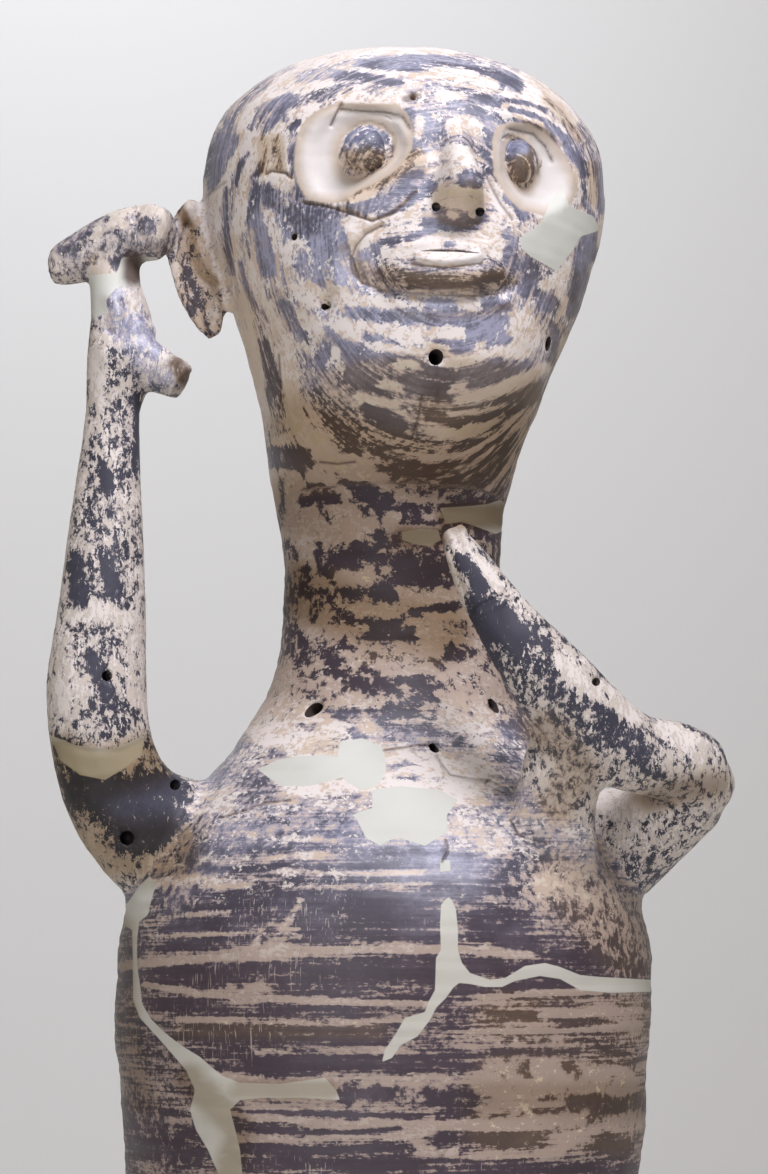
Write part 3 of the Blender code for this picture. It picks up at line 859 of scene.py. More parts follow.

# %% [markdown]
# ## Where the slip lies
# The dark slip was brushed on in broad strokes, in circles round the face and level round the pot,
# and it has flaked unevenly. How much of it is left is painted onto the points here, from strokes
# measured on the photograph. A row gives how much slip is left from 0 to 1, the half width of the
# stroke in pixels, and its line, and each stroke lies over those before it. The material then
# breaks the edges up into flakes.
# %% Strokes on the head
# Among these, the pale strokes at 452,152 and 440,172 on the nose bridge are a painted highlight,
# and the dark stroke at 414,197 beside the nose is painted shade.
HEAD_PAINT = """
.45 14 300,75 345,58 400,52 460,56 520,78
.08 5 300,66 340,55 400,50 450,51
.75 4 360,62 400,58 440,59 470,65
.85 3.5 372,66 400,68 420,66
.08 3 330,69 360,73 400,75 440,75
.88 4 353,75 380,80 398,83
.88 4 302,81 322,76 345,74
.6 5 262,92 280,85 300,78 330,71
.08 4 272,100 300,88 330,83
.7 3 300,99 320,92 340,86
.08 4 340,98 370,99 400,98
.7 3 300,108 318,100 334,94
.12 6 232,132 250,105 270,90 290,79
.6 3.5 234,118 246,101 266,85
.8 5 252,126 262,112 280,100 290,96
.08 5 286,119 300,112 312,106
.85 4 262,136 270,122 285,108 296,103
.8 5 270,141 275,128 285,118
.95 3 292,129 298,123
.12 4 262,152 270,136 280,126
.97 12 216,182 216,160 224,143
.92 6 230,146 233,132 229,124
.1 6 214,200 226,184 236,164 250,140
.2 4 240,131 250,115
.97 9 240,180 245,166 250,160
.95 4 255,163 258,172
.1 3 258,132 254,150 254,158
.6 2 264,141 264,170
.6 2 276,141 278,168
.1 2.5 269,136 270,168
.1 3 284,136 286,168
.95 4.5 292,148 293,160 297,176
.85 8 292,180 300,188 303,194
.03 7 264,180 276,178 286,183
.95 8 260,192 254,204 249,222
.95 7 268,188 271,204 266,222
.1 5 243,190 243,204 238,228
.95 3 226,190 225,206 226,230 229,252 233,272
.08 8 212,206 214,222
.8 4 276,196 281,212 284,228
.9 13 298,214 318,216 334,222
.12 3 234,232 238,260 244,290 250,320
.8 3 240,262 247,290 255,306
.1 4.5 250,268 262,302
.97 10 264,232 268,252 268,268
.9 5 280,228 284,246
.9 15 305,226 320,236 332,246
.12 3.5 298,241 305,255 312,270
.1 3 288,246 292,264 297,276
.88 14 318,266 330,272 326,284
.02 10 352,225 360,238 364,228
.88 4 343,236 344,250 346,262
.8 6 364,256 380,247 396,240
.75 6 358,268 372,276 392,274
.06 4 330,284 346,294 362,300
.06 5 300,292 307,302
.1 5 346,298 380,303 400,306
.9 6 350,312 380,316 416,318
.08 4 342,324 380,330 418,336
.02 6 334,326 346,335 360,334
.97 4 327,330 338,341 350,346
.88 4.5 366,337 388,342 418,346
.08 4 374,346 396,350 420,354
.92 6 352,352 382,358 415,361
.05 5 398,365 414,366
.92 5 284,304 292,320 301,336
.1 4 268,306 278,326 286,341
.08 4 300,311 306,326
.08 4 311,319 319,331
.97 8 326,352 320,362
.97 7 348,354 350,364
.06 2 333,350 340,362 346,374
.9 6 264,345 268,366 272,382 268,396
.05 8 286,352 290,380 296,424
.97 8 350,376 376,386 402,391
.1 4 382,384 402,389
.97 9 368,406 384,416 396,427
.1 4 360,398 376,402 396,404
.15 6 242,302 251,340 258,380 262,420
.75 4 410,57 440,60 470,66
.8 5 480,73 500,76 518,82
.97 5 497,80 512,83 524,91
.08 4 436,71 470,76 494,84
.05 5 526,76 546,90 562,107 572,120
.1 4 527,92 545,98
.6 5 430,86 450,89 470,90
.08 4 440,96 460,96
.85 5 455,106 470,102 486,98 500,102
.96 3.5 500,101 515,102 530,104 545,109
.12 2.5 505,94 530,98 550,106 562,116
.55 2 546,99 560,112 570,125 578,138
.97 5 468,112 482,112 484,122
.05 3 505,106 530,110 550,120 561,130
.99 3.5 512,110 530,115 545,122 556,130 564,138 569,148
.08 3 505,114 525,119 540,125
.85 1.5 508,118 530,124 546,131
.97 4.5 572,152 580,162 584,178 586,204
.12 2.5 576,172 578,200
.3 3 590,180 592,205
.88 5 597,166 601,186 602,208
.92 4 591,214 597,228
.85 6 424,119 430,130 441,128
.03 7 453,126 465,122 476,128
.85 3.5 421,138 425,152
.7 5 440,141 455,146 467,142
.02 9 452,152 466,156
.55 3 444,163 458,164
.02 5 440,172 456,170
.9 3.5 409,111 413,130 412,150
.1 3 420,119 418,136
.9 4 489,120 489,140 486,156 487,172
.97 2 492,165 496,180
.12 4 491,184 499,202 512,218
.97 5 508,198 518,205 524,216
.1 11 442,194 460,198 476,198
.99 8 466,180 476,181
.9 6 414,197 424,191 432,186
.97 5 438,213 460,216 482,217
.1 3 450,214 456,218
.1 3 472,214 474,220
.92 6 424,223 450,226 476,224
.06 4 404,216 416,212
.06 4 414,228 424,231
.85 7 353,208 374,206 394,196 408,184
.75 5 350,196 375,185 400,169 418,156
.12 3 352,200 372,194
.95 5 406,178 419,173
.06 4 420,162 434,156
.1 4 396,214 416,206
.85 2.5 380,216 400,209 416,200
.9 5 409,238 424,233 434,230
.02 8 404,251 440,240 480,243 498,252
.97 3 447,244 453,244
.0 7 424,257 450,259 476,256
.75 6 392,274 430,279 470,281 500,274
.97 2.5 432,287 464,285 494,277
.9 6 504,234 513,242 508,254
.85 5 508,260 516,266
.1 5 497,216 494,230 498,246
.97 8 528,262 532,276 524,289
.05 6 545,286 558,280 566,268 559,296
.88 7 539,296 546,306
.97 8 592,232 583,256 578,284 570,308
.97 5 590,232 593,256
.1 2 599,222 601,246
.06 2 566,299 562,313
.95 4 554,300 552,309
.1 12 513,318 530,330 523,346
.95 4 553,326 557,345 556,362
.2 3 563,340 558,370
.92 7 432,306 450,308
.06 5 462,303 474,307
.92 6 486,304 506,307
.92 7 400,315 425,318 446,318
.9 8 446,323 472,326 502,322
.04 5 438,332 454,331 464,336
.05 3 470,342 484,344
.92 7 472,334 490,338 506,342
.92 4 430,341 450,345 470,347
.08 4 400,338 430,346 448,350
.9 4 455,352 472,356
.05 6 444,365 470,360 500,352 522,350
.95 5 430,372 455,375 480,369 497,361
.97 8 408,380 430,389 450,394
.1 3 452,391 465,386 480,382
.97 4 470,385 490,378 510,372 530,365
.08 5 460,399 490,392 520,381 546,367
.97 3 455,410 480,407 510,398 540,385
.08 3 450,415 480,412 500,408
.95 5 430,414 450,422 480,420 510,410 540,395
.08 5 468,428 486,427
.1 4 430,430 455,434 480,432
.7 16 380,452 420,470 470,472 505,444
.75 8 330,420 350,440 372,462 400,480
.05 9 306,436 330,456 352,470 376,482
.1 3 384,491 400,498 450,505
.7 8 420,488 460,490 492,482
.7 15 306,262 326,270 346,270
.2 7 300,288 330,296 356,300
.3 6 268,214 276,236 282,262
.15 5 258,150 246,176 240,204
.68 20 358,155 374,155
.97 6 350,138 368,132 382,137
.9 14 521,150 521,170
.97 5 511,148 522,144
"""
print(len(list(read_rows(HEAD_PAINT))), "strokes on the head")

# %% Strokes on the neck and body
BODY_PAINT = """
.15 50 280,480 380,600 440,640
.22 40 260,700 380,700 470,700
.97 12 272,458 290,460 302,463
.92 5 274,451 306,451
.3 4 280,472 298,478
.75 4 282,482 284,502 280,524
.12 7 292,490 293,510 290,528
.05 9 316,440 335,462 365,468
.6 4 304,489 320,486 334,488
.97 9 345,488 365,489 380,497 389,509
.97 7 362,502 374,512 380,519
.97 6 304,501 322,497 342,497
.92 4 320,507 330,516
.06 8 337,514 352,519 362,526
.1 3 341,489 349,498
.2 1 363,503 370,510 378,520
.06 9 340,527 360,529 380,531
.06 9 395,520 415,528 436,519
.75 2.5 345,535 365,534 384,534
.97 2 402,504 425,505 447,506 472,503
.85 4.5 408,510 416,516 420,520
.97 2.5 405,522 425,523 440,521
.1 8 306,538 310,556
.75 6 286,545 296,550
.92 3 318,546 320,572
.6 7 328,550 345,553
.97 10 355,550 375,551 396,551
.75 7 408,551 438,553
.35 3.5 386,551 398,549
.97 12 332,567 350,563
.97 18 388,574 410,574 436,574
.9 9 345,592 368,594 396,594
.92 6 338,588 345,600
.05 7.5 343,577 355,576 367,577
.15 4 384,572 388,573
.1 3.5 402,592 412,595
.1 4 417,597 435,594 452,592
.97 4.5 410,613 430,610 456,606
.15 2.5 404,606 409,612
.8 5 304,570 310,584 303,600
.92 3 321,589 332,604 342,616 352,622
.07 7 357,610 368,617
.95 4 345,612 349,614
.97 4.5 356,623 380,625 398,622
.1 6 325,628 345,632 364,629
.97 5.5 364,636 385,637 410,637
.97 4 385,628 411,627
.06 11 425,625 427,645
.5 8 449,625 470,628
.95 8 450,652 468,652
.15 12 305,612 322,632
.85 4 311,612 314,622
.7 3 302,640 312,644
.15 8 345,650 376,652
.9 3 341,645 351,648
.4 6.5 360,657 400,658 436,660
.95 5 326,656 334,657
.85 5 302,660 310,662
.85 4 326,672 343,673
.85 4 304,677 314,677
.85 3.5 365,672 374,673
.8 4 440,664 448,672
.3 12 458,676 466,700
.85 3.5 446,680 450,692
.9 9 352,682 380,687 424,684
.5 9 306,690 332,692
.15 3.5 342,702 380,703
.95 10 392,710 414,707 430,703
.8 6 330,713 350,715 382,716
.3 5 424,706 444,708
.88 7 384,725 404,731 430,728
.1 12 262,735 300,736 330,730
.92 4.5 350,731 357,737
.75 3.5 300,728 318,727
.75 3 396,741 420,748 470,750
.6 1.5 296,753 318,750 338,752
.25 14 470,720 485,742
.5 12 238,762 262,755
.12 26 300,775 400,770 470,780
.65 3 320,766 352,769
.65 3 388,768 410,762
.6 3 400,778 440,780
.92 16 540,700 560,680 590,720
.9 9 505,650 516,690
.5 9 236,814 300,806 356,806
.68 10 226,832 290,824 346,830
.4 16 200,806 224,800
.78 20 200,860 260,852 340,852
.88 24 370,868 410,866 430,868
.35 13 462,824 486,840 500,850
.95 9 448,861 468,865
.72 20 490,880 530,872
.54 26 540,890 590,880 640,900
.12 12 545,886 575,900 590,930
.92 16 240,896 320,896 420,896
.95 22 300,920 360,926 430,926
.9 18 180,930 250,930
.46 2.5 200,862 280,857 340,852
.3 4 150,884 200,880 250,885
.1 1.5 300,855 330,853
.15 2 176,1048 240,1000 300,900
.15 1.5 200,1050 260,985 310,910
.2 1.2 230,1046 262,990 292,920
.2 1.2 190,1046 224,1006 262,930
.95 12 480,920 520,926
.93 9 480,938 530,946
.58 18 560,905 600,930 650,945
.8 6 552,952 600,958
.93 9 145,975 200,974 300,970 432,968
.93 6 474,964 500,968
.9 7 150,1000 180,1008 220,1012
.8 5 200,1008 300,1012 420,1014
.9 12 560,984 600,986 520,988
.66 9 470,1008 540,1010 640,1006
.7 4 470,1022 560,1022 640,1020
.9 12 190,1036 280,1036 380,1034
.12 3 250,1052 330,1052 400,1050
.95 8 224,1064 300,1062 330,1066
.85 8 340,1062 420,1066 480,1062
.06 9 225,1082 280,1090 330,1082
.68 9 450,1046 540,1048 630,1046
.5 9 600,1006 645,1036
.2 3 440,1038 500,1040 560,1040
.2 14 480,1082 540,1074 620,1080
.85 4.5 520,1066 526,1074
.85 4.5 566,1064 580,1074
.9 6 536,1096 556,1090
.92 7 575,1100 606,1092
.92 8 434,1096 470,1098
.25 9 500,1092 560,1088 630,1084
.3 10 560,1140 600,1130 640,1120
.92 8 346,1094 372,1090 396,1098
.2 5 344,1080 400,1080 440,1078
.1 4 480,1108 530,1106 560,1106
.08 7 250,1112 330,1122 400,1126 440,1128
.92 2.5 440,1118 520,1112 570,1110
.9 6 440,1136 500,1140 540,1136
.08 6 236,1142 300,1142 420,1140
.92 10 604,1140 622,1150
.1 6 450,1126 520,1124 580,1120
.1 4 420,1150 480,1156 560,1154
.93 5 240,1148 320,1149 400,1147
.9 7 250,1164 330,1166 420,1168
.9 6 480,1168 560,1170 640,1168
"""
ARM_PAINT = """
.66 30 80,225 120,215 150,240
.1 7 118,212 140,206 160,214
.1 5 160,235 164,225
.12 4 88,236 110,226 124,224
.9 4 60,250 75,240 90,230
.7 5 70,270 90,268
.05 6 96,270 100,300
.85 8 120,262 135,275
.1 10 110,300 130,305
.6 11 116,298 118,322
.66 16 135,330 150,345
.0 8 176,364 184,378
.6 30 110,360 125,420 110,470
.08 8 96,350 98,400
.95 5 136,400 137,440 137,468
.97 6 102,466 108,490
.6 28 100,520 105,580 100,640
.97 8 76,560 78,600
.97 9 108,560 112,590
.06 5 66,616 100,614 135,618
.97 9 92,660 106,690
.1 8 60,680 66,710
.7 20 90,720 120,715
.97 26 80,790 120,800 165,790
.97 24 130,835 170,830 200,820
.3 9 104,870 112,890
.05 12 440,532 456,528
.06 5 462,548 485,566 500,590
.05 5 448,560 456,590 465,612
.97 9 462,560 480,585
.99 20 485,608 510,634 534,652
.97 12 476,625 492,664 500,700
.6 9 512,676 522,692
.8 12 535,650 560,690 575,715
.95 9 492,690 508,706
.2 9 560,660 600,690 636,716
.9 10 605,716 630,742 652,770
.15 12 665,728 700,748
.35 12 700,770 720,790
.55 24 545,728 575,765 560,800
.5 8 640,788 690,792
.08 12 604,800 640,806
.6 9 665,812 690,820
.04 10 197,204 206,214 212,228
.55 9 184,250 190,290 200,322
.6 6 222,296 228,320
"""
print(len(list(read_rows(BODY_PAINT + ARM_PAINT))), "strokes on the neck, body and arms")

# %% [markdown]
# ## Brown slip, wear, dirt, painted shade and painted sheen
# Fire, hands and soil have changed the slip in places of their own, and some rows also paint shade
# into undersides and hollows and a sheen onto the lit slip. Each text below has rows like those of
# the strokes: an amount from 0 to 1, a half width in pixels, and a line.
# %% Brown slip, wear, dirt, painted shade and painted sheen
# Thin slip that the fire turned brown, not purple-black. The rows under the nose and the lips, on
# the jaw and on the lower halves of the eye pellets are painted shade on undersides.
BROWN_SLIP_AND_UNDERSIDE_SHADE = """
1 16 380,452 420,470 470,472 505,444
1 9 330,420 350,440 372,462 400,480
1 8 392,276 430,281 470,282 500,276
1 8 350,195 375,184 400,168 418,155
.8 9 358,268 372,276 392,274
1 12 445,196 476,198
.7 12 365,152 366,168
.8 10 244,300 251,340 258,380
.6 10 264,345 268,366 270,390
1 6 264,140 264,170
1 6 277,140 279,168
.8 5 546,99 560,112 570,125 578,138
.8 5 592,165 594,200
1 7 336,574 352,577 370,575
1 26 500,1016 560,1022 640,1020
.7 9 180,1030 280,1030 380,1030
1 6 360,657 400,658 436,660
.6 12 320,745 360,760
1 7 176,364 184,378
.9 5 178,206 186,222
.9 26 545,728 575,765 560,800
1 18 650,794 710,784
0 10 197,204 206,214 212,228
1 10 96,262 108,276
1 20 300,424 380,446 440,466 500,452
1 16 430,412 480,424 530,394
1 12 290,396 300,430 330,464
.8 8 304,488 334,487
.1 8 420,256 478,257
1 20 358,155 374,155
0 11 350,140 368,134 382,140
1 14 521,150 521,172
0 8 509,150 522,146
.6 20 560,1010 600,1040 640,1080
1 26 500,1078 560,1080 620,1082
.9 26 490,1130 560,1130 620,1130
.7 30 560,880 600,920 630,950
"""
# How far the flakes are drawn out along the brush: 0 for round blots, 1 for streaks
FLAKY = """
.05 34 540,880 590,900 630,950
.25 22 500,1078 600,1090 640,1120
.3 14 340,1092 460,1096
.2 22 200,780 180,900
.3 20 130,1100 170,1150
"""
# Fine scratches
SCUFFED = """
1 26 175,1050 225,960 260,900
.9 34 210,1070 270,990 325,900
.5 24 140,1000 150,1100
.4 20 600,880 620,960
.7 14 240,1160 330,1160
.5 18 430,1160 600,1160
"""
# Thick slip worn to a thin, glossy film. It is lightened to lavender, and on the crown, cheeks,
# chin, chest, fist and eye pellets that lavender is a painted sheen.
THIN_FILM_AND_SHEEN = """
.9 26 112,300 150,340 160,364
.6 34 75,245 150,225
0 34 476,590 500,620 536,656
.5 20 545,728 575,765 560,800
.2 14 330,446 400,470 450,480
.35 10 392,276 430,281 500,276
1 40 260,220 320,250 330,300
1 30 330,300 400,320 500,320
.8 26 300,70 400,60 500,76
.3 22 270,350 260,420
.1 40 300,430 380,460 440,470 510,440
.75 26 370,866 420,852 470,860
.7 20 230,820 320,815 360,830
1 26 300,262 330,270 352,266
1 15 116,296 118,322
1 22 135,328 152,348
.5 24 358,152 374,152
.4 18 521,150 521,172
"""
# Dark dirt in the hollows, and painted shade: the rows on the haft, on the neck's fills under the
# chin, in the left elbow's loop and in the small dent on the forehead are painted shade; the rest
# is dirt.
HOLLOW_DIRT_AND_SHADE = """
.92 11 134,262 133,276
.35 14 404,537 438,537
.3 16 452,516 505,514
.7 10 177,365 187,379
.55 6 178,206 186,222
.3 12 655,798 710,782
.7 3 405,99 412,98
"""
# Dull soil over slip and clay alike. The rows on the neck under the chin, on the elbows, in the
# groove behind the ear and down the left edge of the belly are painted shade; those low on the
# belly, on the stub and at the top of the ear are soil.
SOILED_AND_SHADED = """
.9 6 176,364 184,378
1 4 178,206 186,220
.9 5 191,228 193,250 203,272 214,282
.5 20 550,730 580,770 560,800
.5 12 650,800 720,784
.6 40 300,430 380,460 440,470 510,440
.55 36 300,500 370,540 430,580
1 14 450,516 500,516
1 10 404,537 438,537
.9 34 300,590 380,620 440,630
1 30 60,762 100,775 150,760
.9 36 70,820 110,850 170,850
.6 16 120,930 120,1000 140,1100
.5 20 480,1100 560,1100 640,1100
.7 16 190,1080 240,1130 230,1170
.6 10 240,1090 330,1090
"""
WEAR_SHADE_AND_SHEEN = (BROWN_SLIP_AND_UNDERSIDE_SHADE, FLAKY, SCUFFED, THIN_FILM_AND_SHEEN, HOLLOW_DIRT_AND_SHADE, SOILED_AND_SHADED)
print(len(list(read_rows("".join(WEAR_SHADE_AND_SHEEN)))), "places of brown slip, wear and dirt")

# %% [markdown]
# ## From strokes to numbers on the points
# The shader can't read photograph pixels, so each point of the mesh gets its numbers now. Only
# outward points that face the camera take strokes, and each part takes only its own.
# %% Sort the points by part
points, seen, facing = survey(figure)
part = sort_parts(figure, points)
within, on_limb = part["within"], part["limb"]
on_pot = ~on_limb & ~within  # the thrown wall's outside
on_head = on_pot & (points[:, 2] > JAW)
print({"head": int(on_head.sum()), "limbs": int(on_limb.sum()), "inside": int(within.sum())})

# %% How much slip is left


def brush_on(chosen, text, field):
    """Lays strokes on the chosen points that face the camera, each one over those before it."""
    chosen = np.flatnonzero(chosen & (facing > -0.1))
    for value, width, line in read_rows(text):
        near = chosen[close_by(seen[chosen], line, width * 1.5 + 3)]
        away = nearest(seen[near], line)
        share = 1 - ramp(away, width * 0.5, width * 1.3 + 1.5)
        field[near] += (value - field[near]) * share * ramp(facing[near], -0.1, 0.15)


# How much slip is left: first in general, with wide waves up the pot, then stroke by stroke
height = points[:, 2]
head_share = ramp(height, JAW - 8, FACE)
cover = 0.66 - 0.14 * head_share
for name, amount in (("right_arm", 0.42), ("left_arm", 0.56), ("axe", 0.66), ("ear", 0.38)):
    cover[part[name]] = amount
sway = np.sin(2 * np.arctan2(points[:, 0], points[:, 1]))
for size, wave, phase in ((0.08, 61, 1.0), (0.06, 23, 0.2), (0.05, 37, 2.0)):
    cover += size * np.sin(2 * math.pi / wave * height + phase + sway)
brush_on(on_pot & (height > JAW - 12), HEAD_PAINT, cover)
brush_on(on_pot & (height < JAW + 18), BODY_PAINT + BANDS[1:], cover)
brush_on(on_limb, ARM_PAINT, cover)
# Paint on the limbs, chest and neck is worn to flecks, all but its darkest fields
upper = ~on_limb * ramp(height, 325, 350) * (1 - head_share)
cover += (0.5 - cover) * 0.2 * upper
flecked = on_limb & ~part["ear"]
cover[flecked] = 0.5 + (cover[flecked] - 0.5) * (0.72 + 0.28 * ramp(cover[flecked], 0.9, 0.97))
root = (1 - ramp(nearest(points, LINES["ear"]), 12, 16)) * on_head
cover += (0.3 - cover) * root
print("slip left:", round(float(cover[~within].mean()), 2), "of the outside")

# %% Brown slip, painted shade and sheen, and how the slip is darkened, dulled and worn
# The undersides of the head, turned downwards, are browned as painted shade, and the strokes below
# add the slip that the fire turned brown
underside_shade = ramp(-read_normals(figure)[:, 2], 0.12, 0.5) * on_head
cover -= 0.05 * (1 - underside_shade) * on_head * ramp(-height, -575, -555)
brown_slip_and_underside_shade = 0.2 + 0.55 * underside_shade
brown_slip_and_underside_shade[part["ear"]], brown_slip_and_underside_shade[part["axe"]] = 0.35, 0.5
brush_on(~within, BROWN_SLIP_AND_UNDERSIDE_SHADE, brown_slip_and_underside_shade)

# Below the chest every colour turns darker towards the foot, and the creases get painted shade.
# The throat gets the same darkening as painted shade, for the shadow under the chin.
darkened = 1 - ramp(height, 298, 350)
throat = ramp(height, 372, 392) * (1 - ramp(height, 450, 468))
darkened = np.where(on_limb, 0.15, np.maximum(darkened, 0.85 * throat))
soil = np.zeros(len(points))
brush_on(~within, SOILED_AND_SHADED, soil)
soil[part["ear"]] = np.maximum(soil[part["ear"]], 0.2)
scuffed = np.zeros(len(points))
brush_on(on_pot & ~on_head, SCUFFED, scuffed)
# Painted sheen: where this number is high, the dark slip is lightened to a lavender film and a
# lavender wash shows, and the slip's specular level rises. It is lowered below the chest and taken
# to nothing in the throat, which leaves the throat dark as painted shade.
worn_thin_and_sheen = 0.55 + 0.05 * head_share - 0.3 * darkened * (1 - head_share)
worn_thin_and_sheen -= worn_thin_and_sheen * throat
worn_thin_and_sheen[on_limb] = 0.06
brush_on(~within, THIN_FILM_AND_SHEEN, worn_thin_and_sheen)
dirt = np.zeros(len(points))
brush_on(~within, HOLLOW_DIRT_AND_SHADE, dirt)
# Painted shade: the deeper creases and cracks are darkened along their lines
for text, chosen in ((HEAD_LINES, on_head), (CRACKS, on_pot)):
    chosen = np.flatnonzero(chosen & (facing > 0))
    for move, _, line in read_rows(text):
        if move < -0.35:
            near = chosen[close_by(seen[chosen], line, 6)]
            away = nearest(seen[near], line)
            dirt[near] = np.maximum(dirt[near], 0.75 * np.exp(-((away / 1.3) ** 2)))
for name, values in (("brown_slip_and_underside_shade", brown_slip_and_underside_shade), ("darkened_below_and_in_throat", darkened), ("worn thin", worn_thin_and_sheen), ("dirtied_and_shaded", dirt)):
    print(name, round(float(values[~within].mean()), 2), "on average")

# %% Plaster fills and the white of the eyes
# Pixels inside a plaster fill's edge, below 0 outside it
fill = np.full(len(points), -9.0)
for chosen, outlines in ((on_pot, FILLS), (on_limb, ARM_FILLS)):
    chosen = np.flatnonzero(chosen & (facing > 0))
    for outline in outlines:
        near = chosen[close_by(seen[chosen], outline, 12)]
        fill[near] = np.maximum(fill[near], inside(seen[near], outline))
# The white of the eyes fills the dishes, in pixels inside their edge, but not the dark pellets
white = np.full(len(points), -9.0)
near_head = np.flatnonzero(on_head & (facing > 0))
for outline in (SOCKET, OTHER_SOCKET):
    near = near_head[close_by(seen[near_head], outline, 12)]
    white[near] = np.maximum(white[near], inside(seen[near], outline))
for pellet in PELLETS:
    ball = ball_sizes(points, *pellet)
    on_ball = np.flatnonzero(on_head & (np.abs(ball) < 2).all(1) & (ball[:, 1] > -0.3))
    edge = 24 * (np.linalg.norm(ball[on_ball], axis=1) - 1.12)
    white[on_ball] = np.minimum(white[on_ball], edge)
print(int((fill > 0).sum()), "points on plaster and", int((white > 0).sum()), "on the whites")

# %% Which way the brush ran
# Strokes run in rings about the middle of the face. A noise is drawn out along the first two
# coordinates, which turn with a place's direction from that middle. The third grows ring by ring.
FACE_CENTRE, FACE_AXIS = np.array((3.0, -8.0, 528.0)), np.array((0.0, -0.998, -0.06))
RING, HEAD_RADIUS = 45, 62  # mm, at which the first two coordinates and the third run true
off = points - FACE_CENTRE
reach = np.linalg.norm(off, axis=1)
slant = np.arccos(np.clip(off @ FACE_AXIS / reach, -1, 1))
round_face = np.arctan2(off[:, 2], off[:, 0])
stroke = np.stack(
    (RING * np.cos(round_face) + reach, RING * np.sin(round_face), HEAD_RADIUS * slant), 1
)
on_face = on_head | part["ear"]
by_hand = on_face * (1 - ramp(slant, 1.35, 1.6)) * ramp(slant, 0.24, 0.4)
by_hand[part["ear"]] = 1
streaky = 0.8 - 0.35 * ramp(height, 325, 345) + 0.4 * head_share
streaky -= 0.3 * throat * (1 - head_share)
streaky[on_limb] = 0.12
brush_on(on_pot & ~on_head, FLAKY, streaky)
# On the arms they run lengthways, which is about upwards, in a part of the noise 200 mm off
stroke[~on_face] = points[~on_face][:, [2, 1, 0]] * (1, 1, 1.4) + 200
by_hand[on_limb] = 1
print(int((by_hand > 0.5).sum()), "points were not brushed level")

# %% Keep the numbers on the points


def store(name, values):
    """Keeps one number or one vector a point as an attribute that the shader reads."""
    kind = "FLOAT" if values.ndim == 1 else "FLOAT_VECTOR"
    kept = figure.data.attributes.new(name, kind, "POINT")
    kept.data.foreach_set("value" if values.ndim == 1 else "vector", values.ravel().astype(float))


cover[within] = 0
NUMBERS = {
    "cover": cover, "brown_slip_and_underside_shade": brown_slip_and_underside_shade, "fill": fill, "white": white, "by_hand": by_hand,
    "within": within.astype(float), "darkened": darkened, "dirt": dirt, "streaky": streaky,
    "soil": soil, "limb": flecked.astype(float), "scuffed": scuffed, "worn_thin_and_sheen": worn_thin_and_sheen,
}
for name, values in NUMBERS.items():
    store(name, values)
store("stroke", stroke)
print("kept:", *NUMBERS, "and stroke")

# %% [markdown]
# ## The painted clay
# One material does for the whole pot, since it is one piece. Buff clay, fired at low heat, is matt
# and a little chalky. The slip over it is a thin coat of dark iron-rich clay, burnished before
# firing, so it has a soft shine. It has flaked off in ragged scraps drawn out along the brush.
# %% Noises at the sizes of the real marks
MIX, SMOOTH = {"data_type": "RGBA"}, {"interpolation_type": "SMOOTHSTEP"}
MULTIPLY, MULTIPLY_ADD = {"operation": "MULTIPLY"}, {"operation": "MULTIPLY_ADD"}
slip, tree, shader = new_material("fired_clay_with_worn_slip_paint")
left = {
    name: add(tree, "Attribute", {"attribute_name": name}, {}, "Fac") for name in NUMBERS
}
metres = add(tree, "TexCoord", {}, {}, "Object")
level = add(tree, "VectorMath", {"operation": "SCALE"}, {"Vector": metres, "Scale": 1 / MM})
brushed = add(tree, "Attribute", {"attribute_name": "stroke"}, {}, "Vector")

# Each noise has its three sizes in mm: twice along the brush and once across it
noises = {}
for name, size, detail, roughness in (
    ("patches", (24, 24, 24), 3, 0.5),
    ("grain", (0.9, 0.9, 0.9), 3, 0.6),
):
    place = add(tree, "VectorMath", {"operation": "DIVIDE"}, {0: level, 1: size})
    noises[name] = add(
        tree, "TexNoise", {},
        {"Vector": place, "Scale": 1.0, "Detail": detail, "Roughness": roughness},
    )
# Strokes run level round the pot, but in rings on the face and lengthways on the arms. The change
# from one to the other is ragged, as where one stroke ends over another.
ragged = add(tree, "Math", MULTIPLY_ADD, {0: noises["patches"], 1: 0.8, 2: left["by_hand"]})
turned = add(tree, "Math", {"operation": "GREATER_THAN"}, {0: ragged, 1: 0.9})
drawn = add(
    tree, "Mix", {"data_type": "VECTOR"}, {"Factor": turned, "A": level, "B": brushed}
)
for name, size, detail, roughness, twist in (
    ("scraps", (6.5, 6.5, 3.6), 8, 0.7, 0.6),
    ("crumbs", (1.8, 1.8, 1.1), 5, 0.7, 0.0),
    ("blots", (3.4, 3.4, 3.4), 8, 0.75, 0.3),
    ("swathes", (19, 19, 1.9), 6, 0.65, 0.4),
    ("bristles", (60, 60, 0.9), 3, 0.6, 0.2),
):
    place = add(tree, "VectorMath", {"operation": "DIVIDE"}, {0: drawn, 1: size})
    noises[name] = add(
        tree, "TexNoise", {},
        {"Vector": place, "Scale": 1.0, "Detail": detail, "Roughness": roughness,
         "Distortion": twist},
    )
# Fine scratches run steeply down the belly
SCRATCH, STEEP = (0.55, 0.55, 12), 0.42  # mm, radians
place = add(
    tree, "Mapping", {},
    {"Vector": level, "Rotation": (0, STEEP, 0), "Scale": tuple(1 / size for size in SCRATCH)},
)
noises["scratches"] = add(
    tree, "TexNoise", {}, {"Vector": place, "Scale": 1.0, "Detail": 2.0, "Roughness": 0.6}
)
print(len(left), "numbers and", len(noises), "noises:", *noises)

